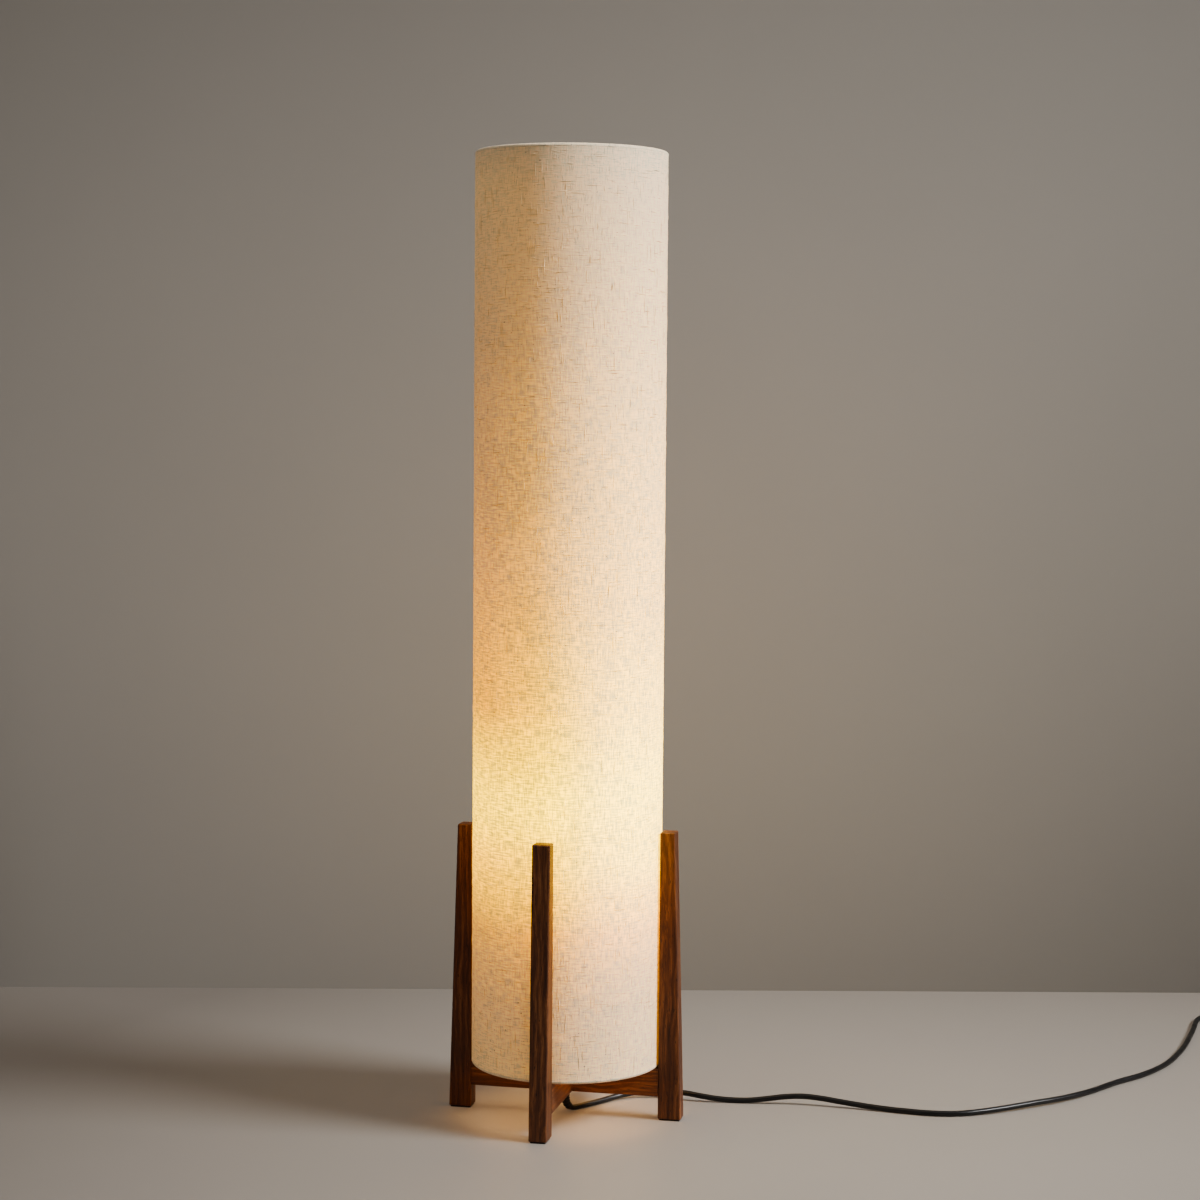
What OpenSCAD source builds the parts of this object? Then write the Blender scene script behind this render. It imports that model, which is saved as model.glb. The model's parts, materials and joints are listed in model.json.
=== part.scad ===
// Column floor lamp: a tall linen drum shade that stands between four tapered wooden legs.
// Two rails, halved together, join the legs and carry the stem, the lampholder and the bulb.
// Millimetres, +Z up. The origin is on the floor under the middle of the shade, and the legs
// stand on the X and Y axes. The front leg is on -Y.

/* [Shade] */
// Outside diameter of the fabric
shade_d = 200; // [170:1:230]
// Height of the shade over both rims
shade_h = 956; // [600:1:1100]
// Thickness of the linen
fabric_t = 0.6; // [0.4:0.1:1]
// Thickness of the stiff sheet that the linen is bonded to
liner_t = 0.5; // [0.3:0.1:1]
// Wire of the rings in both rims
ring_wire_d = 4; // [3:0.5:5]
// Cloth turned round the rings
binding_t = 0.5; // [0.3:0.1:0.8]
// How far the turned cloth comes down over the outside
binding_h = 4; // [3.5:0.5:8]
// Width of the glued lap where the cloth's two ends meet
lap_w = 10; // [6:1:16]
// Where the lap stands, turned from the right leg
lap_angle = 115; // [20:1:160]

/* [Legs] */
// Height of a leg without its pad
leg_h = 304; // [200:1:420]
// Width of a leg, seen from outside
leg_w = 19; // [15:0.5:26]
// Depth of a leg at the foot, towards the middle
leg_foot_depth = 24.5; // [21:0.5:34]
// Depth of a leg at its top
leg_top_depth = 16; // [12:0.5:20]
// Air between the linen and a leg
leg_clear = 1.5; // [1:0.1:4]
// Round on the long edges of a leg
leg_round = 1.6; // [0.8:0.1:3]
// Bevel round both ends of a leg
leg_bevel = 1; // [0.5:0.1:2]
// Thickness of the felt pad under a foot
pad_t = 1.5; // [1:0.1:4]
// How far a pad stays inside the foot's edges
pad_inset = 1.2; // [0.5:0.1:3]

/* [Rails] */
// Width of a rail
rail_w = 19; // [17:0.5:24]
// Height of a rail
rail_h = 30; // [26:1:38]
// Floor to the underside of the rails
rail_lift = 25; // [20:1:60]
// Round on the long edges of a rail
rail_round = 1.2; // [0.6:0.1:2.5]
// Thickness of the tenon on each rail's end
tenon_t = 9; // [6:0.5:11]
// Length of the tenon
tenon_l = 14; // [8:0.5:16]
// Wood above and below the tenon
tenon_shoulder = 4; // [2:0.5:8]
// Room for glue in the joints
joint_clear = 0.1; // [0.05:0.05:0.3]

/* [Stem] */
// Outside diameter of the hollow threaded rod
rod_d = 10; // [9.5:0.1:10.5]
// Bore of the threaded rod, which the flex runs up
rod_bore_d = 7; // [6.8:0.1:7.6]
// Diameter of the tube over the rod
stem_d = 13; // [12:0.5:20]
// Height of the tube between the rails' plate and the lampholder
stem_h = 137.5; // [80:0.5:220]
// Diameter of the plate on the crossing of the rails
plate_d = 30; // [22:1:44]
// Thickness of the plate and of the washer under the crossing
washer_t = 1.5; // [1:0.1:2.5]
// Diameter of the washer under the crossing
washer_d = 16.4; // [16:0.1:17.4]
// Width across the flats of the hexagon nut
nut_af = 14; // [13:0.5:14]
// Thickness of the nut
nut_t = 3.5; // [3:0.1:4.5]
// Depth of the recess that hides the nut
recess_depth = 9; // [8:0.5:11]
// Air round the rod where it passes the wood and the washers
rod_clear = 0.2; // [0.1:0.05:0.3]

/* [Lampholder] */
// Outside diameter of the holder's shell
holder_d = 39; // [37:0.5:46]
// Height of the holder
holder_h = 57; // [56:1:64]
// Wall of the cap and of the shell
holder_wall = 2; // [1.4:0.1:2.6]
// Inside diameter of the screw shell
screw_shell_d = 26.8; // [26.8:0.1:27.4]
// Wall of the screw shell
screw_shell_t = 0.4; // [0.3:0.1:0.8]

/* [Bulb] */
// Diameter of the globe
bulb_d = 60; // [50:1:80]
// Length of the bulb from its contact to the top of the globe
bulb_l = 108; // [100:1:130]
// Diameter over the cap's thread
bulb_cap_d = 26.2; // [26:0.1:26.2]
// Wall of the globe
globe_t = 1.2; // [0.8:0.1:2]

/* [Flex] */
// Diameter of the mains flex
cord_d = 6; // [5.5:0.1:6.2]
// Distance between neighbouring turns of the coil, and between its layers
coil_pitch = 6.5; // [6.5:0.1:7.5]
// Radius of the coil at the middle of its turns
coil_mean_r = 33; // [30:1:40]
// Turns in each layer of the coil
coil_turns = 2; // [2:1:4]
// Thickness of the tie round the coil
tie_t = 0.8; // [0.5:0.1:1.2]
// Width of the tie
tie_w = 10; // [6:1:14]

/* [Switch] */
// Length of the housing without its spouts
switch_l = 64; // [60:1:80]
// Width of the housing
switch_w = 24; // [23:1:30]
// Height of the lower shell
switch_base_h = 9; // [8:0.5:12]
// Height of the upper shell
switch_cover_h = 10; // [9.5:0.5:13]
// Wall of both shells
switch_wall = 1.8; // [1.2:0.1:2.2]
// Width of the rocker
rocker_w = 10; // [8:0.5:11]
// How far the rocker tilts to each side of level
rocker_tilt = 7; // [5:0.5:9]
// Diameter of the rocker's pin
rocker_pin_d = 2; // [1.6:0.1:2.6]

/* [Plug] */
// Width of the plug
plug_w = 35; // [30:0.5:37]
// Thickness of the plug
plug_t = 13.6; // [12:0.1:15]
// Length of the plug's body
plug_l = 36; // [32:1:42]
// Diameter of the plug's pins
plug_pin_d = 4; // [3.8:0.1:4.2]
// Length of the pins outside the plug
plug_pin_l = 19; // [18:0.5:20]
// Distance between the pins where they leave the plug
plug_pin_gap = 18.6; // [17.6:0.1:19]

/* [Hidden] */
$fn = 64;
small = 0.01;
through = 1;
fine_fn = 96;
wood = "saddlebrown";
linen = "antiquewhite";
brass = "goldenrod";
steel = "silver";
black = [0.07, 0.07, 0.08];
bakelite = [0.92, 0.91, 0.88];

// Heights of the wooden base
leg_bottom = pad_t;
leg_top = leg_bottom + leg_h;
rail_bottom = rail_lift;
rail_top = rail_bottom + rail_h;
rail_mid = rail_bottom + rail_h / 2;
leg_inner = shade_d / 2 + leg_clear;
leg_slope = atan((leg_foot_depth - leg_top_depth) / leg_h);

// Shade, standing on the rails
seat_clear = 0.3;
skin_clear = 0.05;
wire_clear = 0.3;
shade_r = shade_d / 2;
shade_bottom = rail_top + seat_clear;
shade_top = shade_bottom + shade_h;
liner_r = shade_r - fabric_t;
liner_inner_r = liner_r - liner_t;
ring_r = liner_inner_r - skin_clear - ring_wire_d / 2;
binding_outer_r = shade_r + skin_clear + binding_t;
binding_inner_r = ring_r - ring_wire_d / 2 - wire_clear - binding_t;
roll_r = (binding_outer_r - binding_inner_r) / 2;
roll_mid_r = (binding_outer_r + binding_inner_r) / 2;
skin_rise = 0.75 * roll_r;
skin_bottom = shade_bottom + skin_rise + skin_clear;
skin_top = shade_top - skin_rise - skin_clear;
ring_rise = roll_r;

// Rod, tube, washers and nut on the lamp's axis
rod_r = rod_d / 2;
recess_top = rail_bottom + recess_depth;
recess_r = washer_d / 2 + seat_clear;
nut_top = recess_top - washer_t;
nut_bottom = nut_top - nut_t;
rod_bottom = nut_bottom - 0.5;
plate_top = rail_top + washer_t;
holder_bottom = plate_top + stem_h;
rod_entry = 9;
rod_top = holder_bottom + rod_entry;

// Lampholder, in steps up from its bottom
holder_r = holder_d / 2;
boss_r = rod_r + 3;
cap_h = 24;
block_t = 8;
cap_top = holder_bottom + cap_h;
block_top = cap_top + block_t;
holder_top = holder_bottom + holder_h;
block_r = holder_r - holder_wall / 2;
block_flange_t = 5;
block_step_r = holder_r - holder_wall - 2.3;
screw_shell_r = screw_shell_d / 2;
screw_shell_top = holder_top - 2;
contact_t = 0.6;
contact_rise = 3.2;
terminal_gap = 15;
terminal_screw_r = 1.5;
core_d = 2.4;
core_gap = 3.2;
core_entry = 3;
flex_end = holder_bottom + 13;

// Bulb, in steps up from its contact
bulb_bottom = block_top + contact_rise + contact_t + seat_clear;
bulb_top = bulb_bottom + bulb_l;
bulb_cap_r = bulb_cap_d / 2;
bulb_cap_start = bulb_bottom + 7;
bulb_cap_top = bulb_bottom + 25;
bulb_cap_t = 0.3;
tip_t = 1.5;
tip_r = 4.5;
globe_r = bulb_d / 2;
globe_mid = bulb_top - globe_r;
globe_cut = 0.53;
collar_top = globe_mid - globe_cut * globe_r;
collar_top_r = sqrt(globe_r * globe_r - pow(globe_mid - collar_top, 2));
collar_bottom_r = bulb_cap_r + 0.6;
board_t = 1.5;
board_r = collar_top_r - 4;
chip_w = 3;
chip_t = 0.7;
chip_count = 12;

// Flex from the grip under the crossing to the switch. The first points run down the grip.
cord_r = cord_d / 2;
grip_rings = 8;
grip_top_r = 4.5;
grip_end_r = cord_r + 0.4;
tube_sides = 10;
steps_per_point = 2;
floor_route = [
    [0, 0, rod_bottom - small],
    [0, 0, 22],
    [0, 0, 15.5],
    [1, 1.3, 9.3],
    [3.9, 4.9, 4.8],
    [7.8, 9.8, 3.1],
    [16, 21, 3.1],
    [29, 39, 3.4],
    [45, 61, 4.6],
    [65, 75, 6.4],
    [89, 79, 8],
    [114, 77, 8],
    [132, 76, 6.2],
    [148, 77, 4.2],
    [165, 79, 3.1],
    [184, 81, 3.4],
    [202, 84, 5.4],
    [222, 87, 8.2],
    [241, 89, 9.4],
    [260, 89, 8.6],
    [282, 88, 6.4],
    [306, 86, 4.4],
    [330, 83, 3.3],
    [352, 80, 3.1],
    [383, 78, 3.1],
    [413, 85, 3.2],
    [446, 105, 4.2],
    [483, 136, 5.2],
    [515, 170, 4.4],
    [543, 211, 3.2],
    [570, 258, 3.1],
    [599, 301, 3.1],
    [624, 358, 3.1],
    [642, 437, 3.1],
    [653, 525, 3.1],
    [660, 590, 3.1],
    [677, 612, 3.1],
    [697, 603, 3.1],
    [702, 585, 6.2],
    [702, 572, switch_base_h],
    [702, 566, switch_base_h]
];
route_end = floor_route[len(floor_route) - 1];

// Switch, along the flex where it leaves the lead
spout_l = 4;
spout_r = cord_r + 2;
switch_h = switch_base_h + switch_cover_h;
switch_half_w = switch_w / 2;
switch_straight = switch_l - switch_w;
switch_edge = 2.5;
switch_mid = [route_end[0], route_end[1] - spout_l - switch_l / 2, 0];
post_x = switch_straight / 2 + 1;
post_y = 5;
post_r = 2.5;
screw_r = 1.1;
screw_head_r = 2.1;
screw_clear = 0.05;
rocker_pin_z = switch_h - 5.6;
rocker_r = 11.2;
rocker_crown = switch_h - rocker_pin_z + 0.3;
rocker_clear = 0.3;
pin_clear = 0.05;
lug_t = 1.8;

// Coil beside the switch, and the short runs of flex on both sides of it
coil_run = 52;
coil_start = [route_end[0], switch_mid[1] - switch_l / 2 - spout_l - coil_run];
coil_z = tie_t + cord_r;
coil_outer_r = coil_mean_r + coil_turns * coil_pitch / 2;
coil_mid = [coil_start[0] + coil_outer_r, coil_start[1] - cord_d];
coil_sides = 6;
coil_rings = 24;
coil_upper_z = coil_z + coil_pitch;
link_route = [
    [coil_start[0], coil_start[1] + coil_run, switch_base_h],
    [coil_start[0], coil_start[1] + coil_run - 6, switch_base_h],
    [coil_start[0], coil_start[1] + coil_run - 20, 5.6],
    [coil_start[0], coil_start[1] + 12, coil_z],
    [coil_start[0], coil_start[1], coil_z]
];
tail_l = 40;
tail_start = coil_mid[1] - cord_d;
plug_mid_z = plug_t / 2;
tail_route = [
    [coil_start[0], tail_start, coil_upper_z],
    [coil_start[0], tail_start - 8, coil_upper_z],
    [coil_start[0], tail_start - 22, (coil_upper_z + plug_mid_z) / 2],
    [coil_start[0], tail_start - tail_l + 8, plug_mid_z],
    [coil_start[0], tail_start - tail_l, plug_mid_z]
];

// Plug at the end of the tail
relief_l = 20;
relief_ribs = 5;
plug_back = tail_start - tail_l - relief_l;
plug_neck_r = 5.5;
plug_step_l = 16;
plug_edge = 3;
pin_root = 8;
pin_lean = 0.8;
sleeve_l = 10;
sleeve_t = 0.25;
sleeve_r = plug_pin_d / 2 + sleeve_t;

// ---- Shared shapes ----

// Rectangle with round corners, from true arcs
module round_rect(w, h, r) {
    square([w - 2 * r, h], center = true);
    square([w, h - 2 * r], center = true);
    for (x = [-1, 1], y = [-1, 1])
        translate([x * (w / 2 - r), y * (h / 2 - r)])
            circle(r);
}

// Round tube or disc standing on z
module ring(outer_r, inner_r, h, z = 0) {
    translate([0, 0, z])
        difference() {
            cylinder(r = outer_r, h = h);
            translate([0, 0, -through])
                cylinder(r = inner_r, h = h + 2 * through);
        }
}

function unit(v) = v / norm(v);

// Points and directions of a smooth curve through a list of points
function before(p, i) = i > 0 ? p[i - 1] : 2 * p[0] - p[1];
function after(p, i) = i < len(p) ? p[i] : 2 * p[len(p) - 1] - p[len(p) - 2];
function curve_point(a, b, c, d, t) =
    (2 * b + (c - a) * t + (2 * a - 5 * b + 4 * c - d) * t * t
        + (3 * b - a - 3 * c + d) * t * t * t) / 2;
function curve_way(a, b, c, d, t) =
    unit((c - a) + 2 * (2 * a - 5 * b + 4 * c - d) * t + 3 * (3 * b - a - 3 * c + d) * t * t);
function smooth(p, steps) = [
    for (i = [0 : len(p) - 2], s = [0 : i == len(p) - 2 ? steps : steps - 1])
        let (a = before(p, i), b = p[i], c = p[i + 1], d = after(p, i + 2), t = s / steps)
            [curve_point(a, b, c, d, t), curve_way(a, b, c, d, t)]
];

// Side directions of the rings, carried along without twist
function carried(u, way) = unit(u - (u * way) * way);
function sides_of(rings, start) = [
    for (i = 0, u = carried(start, rings[0][1]); i < len(rings);
         i = i + 1, u = i < len(rings) ? carried(u, rings[i][1]) : u) u
];

// Closed tube through rings of [point, direction], with a radius for each ring
module tube(rings, radii, sides, start = [1, 0, 0]) {
    across = sides_of(rings, start);
    points = [
        for (i = [0 : len(rings) - 1], k = [0 : sides - 1])
            let (u = across[i], v = cross(rings[i][1], u), a = 360 * (k + 0.5) / sides)
                rings[i][0] + radii[i] * (cos(a) * u + sin(a) * v)
    ];
    last = (len(rings) - 1) * sides;
    faces = [
        for (i = [0 : len(rings) - 2], k = [0 : sides - 1])
            let (n = (k + 1) % sides, a = i * sides)
                each [[a + k, a + n, a + sides + n], [a + k, a + sides + n, a + sides + k]],
        for (k = [1 : sides - 2]) each [[0, k + 1, k], [last, last + k, last + k + 1]]
    ];
    polyhedron(points, [for (f = faces) [f[0], f[2], f[1]]]);
}

module flex(rings, sides = tube_sides) {
    color(black) tube(rings, [for (r = rings) cord_r], sides);
}

// ---- Wooden base ----

// One leg on +X: upright inner face, outer face leaning in, long edges rounded, ends bevelled
module leg_blank() {
    reach = leg_foot_depth + leg_w;
    translate([leg_inner, 0, leg_bottom])
        intersection() {
            translate([reach, 0, -through])
                linear_extrude(leg_h + 2 * through)
                    round_rect(2 * reach, leg_w, leg_round);
            translate([leg_foot_depth, 0, 0])
                rotate([0, -leg_slope, 0])
                    translate([-reach, 0, -leg_w])
                        linear_extrude(leg_h + 2 * leg_w)
                            round_rect(2 * reach, leg_w, leg_round);
            rotate([90, 0, 90])
                translate([0, 0, -through])
                    linear_extrude(leg_foot_depth + 2 * through)
                        leg_front_profile();
            rotate([90, 0, 0])
                linear_extrude(leg_w + through, center = true)
                    leg_side_profile();
        }
}

// Leg seen from outside, between its two flat ends
module leg_front_profile() {
    flat = leg_w / 2 - leg_bevel;
    wide = leg_w / 2 + through;
    rise = wide - flat;
    polygon([
        [-flat, 0], [flat, 0], [wide, rise], [wide, leg_h - rise],
        [flat, leg_h], [-flat, leg_h], [-wide, leg_h - rise], [-wide, rise]
    ]);
}

// Leg seen from the side, measured from its inner foot, with only the bevels inside the wood
module leg_side_profile() {
    out = leg_foot_depth + through;
    drop = out - leg_top_depth + leg_bevel;
    polygon([
        [leg_bevel + through, -through], [leg_foot_depth - leg_bevel - through, -through],
        [out, leg_bevel + through], [out, leg_h - drop],
        [leg_top_depth - leg_bevel - through, leg_h + through],
        [leg_bevel + through, leg_h + through],
        [-through, leg_h - leg_bevel - through], [-through, leg_bevel + through]
    ]);
}

// Room in a leg for a tenon, with the glue's clearance all round
module mortise() {
    slot_h = rail_h - 2 * (tenon_shoulder - joint_clear);
    slot_w = tenon_t + 2 * joint_clear;
    translate([leg_inner - small, -slot_w / 2, rail_mid - slot_h / 2])
        cube([tenon_l + 3 * joint_clear, slot_w, slot_h]);
}

module leg(turn) {
    color(wood) rotate(turn)
        difference() {
            leg_blank();
            mortise();
        }
}

module leg_front() { leg(-90); }
module leg_right() { leg(0); }
module leg_back() { leg(90); }
module leg_left() { leg(180); }

// One rail along X with a tenon on each end
module rail_blank() {
    translate([0, 0, rail_mid])
        rotate([90, 0, 90])
            linear_extrude(2 * leg_inner, center = true)
                round_rect(rail_w, rail_h, rail_round);
    for (side = [-1, 1])
        translate([side * (leg_inner + tenon_l / 2 - small), 0, rail_mid])
            cube([tenon_l + 2 * small, tenon_t, rail_h - 2 * tenon_shoulder], center = true);
}

// Half of the crossing's height, cut where the other rail passes; up is 1 or -1
module halving(up) {
    depth = rail_h / 2 + joint_clear / 2;
    middle = rail_mid + up * (rail_h / 4 + through / 2 - joint_clear / 4);
    translate([0, 0, middle])
        cube([rail_w + 2 * joint_clear, rail_w + 2 * through, depth + through], center = true);
}

module rod_hole(from, to) {
    translate([0, 0, from - through])
        cylinder(r = rod_r + rod_clear, h = to - from + 2 * through);
}

module rail_x() {
    color(wood) difference() {
        rail_blank();
        halving(1);
        rod_hole(rail_bottom, rail_top);
        translate([0, 0, rail_bottom - through])
            cylinder(r = recess_r, h = recess_depth + through);
    }
}

module rail_y() {
    color(wood) rotate(90) difference() {
        rail_blank();
        halving(-1);
        rod_hole(rail_bottom, rail_top);
    }
}

module foot_pads() {
    pad_l = leg_foot_depth - 2 * pad_inset;
    color([0.16, 0.13, 0.12])
        for (turn = [0 : 90 : 270])
            rotate(turn)
                translate([leg_inner + leg_foot_depth / 2, 0, 0])
                    linear_extrude(pad_t)
                        round_rect(pad_l, leg_w - 2 * pad_inset, leg_round);
}

// ---- Rod and stem ----

module nut_washer() {
    color(steel) ring(washer_d / 2, rod_r + rod_clear, washer_t, nut_top);
}

module rod_nut() {
    color(steel) difference() {
        translate([0, 0, nut_bottom])
            cylinder(d = nut_af / cos(30), h = nut_t, $fn = 6);
        translate([0, 0, nut_bottom - through])
            cylinder(r = rod_r + pin_clear, h = nut_t + 2 * through);
    }
}

module threaded_rod() {
    color(steel) ring(rod_r, rod_bore_d / 2, rod_top - rod_bottom, rod_bottom);
}

module rail_plate() {
    edge = 0.6;
    color(black) difference() {
        translate([0, 0, rail_top])
            rotate_extrude() {
                square([plate_d / 2, washer_t - edge]);
                square([plate_d / 2 - edge, washer_t]);
                translate([plate_d / 2 - edge, washer_t - edge])
                    circle(edge, $fn = 32);
            }
        rod_hole(rail_top, plate_top);
    }
}

module stem_tube() {
    color(black) ring(stem_d / 2, rod_r + rod_clear, stem_h, plate_top);
}

// ---- Lampholder ----

// Outline of the cap: a boss, a round shoulder and an upright skirt
module cap_outline(inset) {
    shoulder_z = 9;
    skirt_z = 19;
    out_r = holder_r - inset;
    neck_r = boss_r - inset;
    top = cap_h + (inset > 0 ? through : 0);
    bend = [
        for (a = [0 : 10 : 90]) [
            neck_r + (out_r - neck_r) * sin(a),
            skirt_z + inset / 2 - (skirt_z - shoulder_z) * cos(a)
        ]
    ];
    polygon(concat([[0, inset], [neck_r, inset]], bend, [[out_r, top], [0, top]]));
}

module holder_cap() {
    color(bakelite) translate([0, 0, holder_bottom])
        difference() {
            rotate_extrude() cap_outline(0);
            translate([0, 0, rod_entry])
                rotate_extrude()
                    intersection() {
                        translate([0, -rod_entry]) cap_outline(holder_wall);
                        square([holder_r, cap_h]);
                    }
            translate([0, 0, -through])
                cylinder(r = rod_r + pin_clear, h = cap_h);
            translate([0, 0, rod_entry / 2])
                rotate([0, 90, 0])
                    cylinder(r = terminal_screw_r + pin_clear, h = holder_r, $fn = 32);
        }
}

module lock_screw() {
    color(steel) translate([rod_r + pin_clear, 0, holder_bottom + rod_entry / 2])
        rotate([0, 90, 0])
            cylinder(r = terminal_screw_r, h = boss_r - rod_r + 0.6, $fn = 32);
}

// Ceramic block on the cap's rim, held down by the shell, with holes for screws and cores
module contact_block() {
    color("white") difference() {
        union() {
            translate([0, 0, cap_top])
                cylinder(r = block_r, h = block_flange_t);
            translate([0, 0, cap_top])
                cylinder(r = block_step_r, h = block_t);
        }
        for (side = [-1, 1]) {
            translate([side * terminal_gap / 2, 0, cap_top - through])
                cylinder(r = terminal_screw_r + pin_clear, h = block_t + 2 * through, $fn = 32);
            translate([0, side * core_gap / 2, cap_top - through])
                cylinder(r = core_d / 2 + pin_clear, h = through + core_entry + pin_clear, $fn = 32);
        }
    }
}

module holder_shell() {
    lip_t = 3;
    lip_r = screw_shell_r + screw_shell_t + 1;
    edge = 2;
    shell_h = holder_top - cap_top;
    color(bakelite) translate([0, 0, cap_top])
        rotate_extrude()
            difference() {
                union() {
                    square([holder_r, shell_h - edge]);
                    square([holder_r - edge, shell_h]);
                    translate([holder_r - edge, shell_h - edge])
                        circle(edge, $fn = 32);
                }
                translate([0, -through])
                    square([block_r + pin_clear, block_flange_t + through]);
                translate([0, -through])
                    square([holder_r - holder_wall, shell_h - lip_t + through]);
                square([lip_r, holder_top]);
            }
}

module screw_shell() {
    shell_h = screw_shell_top - block_top;
    color(brass) ring(screw_shell_r + screw_shell_t, screw_shell_r, shell_h, block_top);
}

// Springy strip with a raised tongue under the bulb's tip
module centre_contact() {
    strip_w = 6;
    foot_end = -10;
    bend = -4;
    tongue_end = 5;
    slant = 0.35;
    color(brass) translate([0, 0, block_top])
        rotate([90, 0, 0])
            linear_extrude(strip_w, center = true)
                polygon([
                    [foot_end, 0], [bend, 0], [0, contact_rise], [tongue_end, contact_rise],
                    [tongue_end, contact_rise + contact_t], [-slant, contact_rise + contact_t],
                    [bend - slant, contact_t], [foot_end, contact_t]
                ]);
}

module terminal_screws() {
    head_r = 2.6;
    head_t = 1.6;
    color(brass) for (side = [-1, 1])
        translate([side * terminal_gap / 2, 0, 0]) {
            translate([0, 0, cap_top - head_t])
                cylinder(r = head_r, h = head_t, $fn = 32);
            translate([0, 0, cap_top - small])
                cylinder(r = terminal_screw_r, h = block_t - 1, $fn = 32);
        }
}

module core(side) {
    translate([0, side * core_gap / 2, flex_end])
        cylinder(d = core_d, h = cap_top + core_entry - flex_end, $fn = 32);
}

module live_core() { color("sienna") core(-1); }
module neutral_core() { color("royalblue") core(1); }

module inner_flex() {
    color(black) translate([0, 0, rod_bottom])
        cylinder(r = cord_r, h = flex_end - rod_bottom);
}

// ---- Bulb ----

module bulb_tip() {
    color(steel) translate([0, 0, bulb_bottom])
        cylinder(r = tip_r, h = tip_t, $fn = 32);
}

module bulb_insulator() {
    color(black) translate([0, 0, bulb_bottom + tip_t])
        cylinder(r1 = tip_r + 1.5, r2 = bulb_cap_r - 1, h = bulb_cap_start - bulb_bottom - tip_t);
}

module bulb_cap() {
    color(steel) ring(bulb_cap_r, bulb_cap_r - bulb_cap_t, bulb_cap_top - bulb_cap_start, bulb_cap_start);
}

// White skirt from the cap up to the globe, with a spigot inside the cap
module bulb_collar() {
    h = collar_top - bulb_cap_top;
    flare = collar_top_r - collar_bottom_r;
    bell = [
        for (t = [0.15 : 0.15 : 0.9])
            [collar_bottom_r + flare * (1 - cos(90 * t)), h * (0.9 * sin(90 * t) + 0.1 * t)]
    ];
    color("white") translate([0, 0, bulb_cap_top])
        rotate_extrude()
            union() {
                polygon(concat([[0, 0], [collar_bottom_r, 0]], bell, [[collar_top_r, h], [0, h]]));
                translate([0, bulb_cap_start - bulb_cap_top])
                    square([bulb_cap_r - bulb_cap_t - pin_clear, bulb_cap_top - bulb_cap_start]);
            }
}

module led_board() {
    color("white") translate([0, 0, collar_top])
        cylinder(r = board_r, h = board_t);
}

module led_chips() {
    color("khaki")
        for (i = [0 : chip_count - 1])
            rotate(360 * i / chip_count)
                translate([board_r - 5, 0, collar_top + board_t + chip_t / 2])
                    cube([chip_w, chip_w, chip_t], center = true);
}

module bulb_globe() {
    color([1, 0.95, 0.82]) translate([0, 0, globe_mid])
        rotate_extrude($fn = fine_fn)
            difference() {
                intersection() {
                    circle(globe_r);
                    translate([0, collar_top - globe_mid])
                        square([globe_r + 1, 2 * globe_r]);
                }
                circle(globe_r - globe_t);
            }
}

// ---- Shade ----

module wire_ring(z) {
    color(steel) translate([0, 0, z])
        rotate_extrude($fn = fine_fn)
            translate([ring_r, 0])
                circle(ring_wire_d / 2, $fn = 24);
}

module ring_bottom() { wire_ring(shade_bottom + ring_rise); }
module ring_top() { wire_ring(shade_top - ring_rise); }

// Upright cloth or sheet between two radii, over part of a turn
module wrap(outer_r, inner_r, from, to) {
    ring(outer_r, inner_r, to - from, from, $fn = fine_fn);
}

module shade_liner() {
    color("white") wrap(liner_r, liner_inner_r, skin_bottom, skin_top);
}

module shade_fabric() {
    color(linen) wrap(shade_r, liner_r, skin_bottom, skin_top);
}

// Lapped end of the cloth, on the outside at the back, between the rims
module shade_lap() {
    lap_arc = lap_w / shade_r * 180 / PI;
    color(linen) rotate(lap_angle - lap_arc / 2)
        translate([0, 0, shade_bottom + binding_h + 2 * skin_clear])
            rotate_extrude(angle = lap_arc, $fn = fine_fn)
                translate([shade_r + small, 0])
                    square([fabric_t - small, shade_h - 2 * binding_h - 4 * skin_clear]);
}

// Cloth turned round a ring: a roll with a slot for the skins and a hole for the wire
module binding_profile() {
    difference() {
        union() {
            translate([roll_mid_r, roll_r])
                circle(roll_r, $fn = 48);
            translate([binding_inner_r, roll_r])
                square([binding_outer_r - binding_inner_r, max(binding_h - roll_r, small)]);
        }
        translate([ring_r, ring_rise])
            circle(ring_wire_d / 2 + wire_clear, $fn = 48);
        translate([liner_inner_r - skin_clear, skin_rise])
            square([fabric_t + liner_t + 2 * skin_clear, 2 * binding_h]);
        translate([ring_r - ring_wire_d / 2 - wire_clear, ring_rise])
            square([ring_wire_d + 2 * wire_clear, 2 * binding_h]);
    }
}

module binding() {
    color(linen) rotate_extrude($fn = fine_fn) binding_profile();
}

module binding_bottom() { translate([0, 0, shade_bottom]) binding(); }
module binding_top() { translate([0, 0, shade_top]) mirror([0, 0, 1]) binding(); }

// ---- Flex, switch, coil and plug ----

route_rings = smooth(floor_route, steps_per_point);

module cord_grip() {
    rings = [for (i = [0 : grip_rings]) route_rings[i]];
    color(black) tube(rings, [for (i = [0 : grip_rings])
        grip_top_r + (grip_end_r - grip_top_r) * i / grip_rings], 16);
}

module cord_lead() {
    flex([for (i = [grip_rings : len(route_rings) - 1]) route_rings[i]]);
}

module cord_link() { flex(smooth(link_route, steps_per_point)); }
module cord_tail() { flex(smooth(tail_route, steps_per_point)); }

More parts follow.
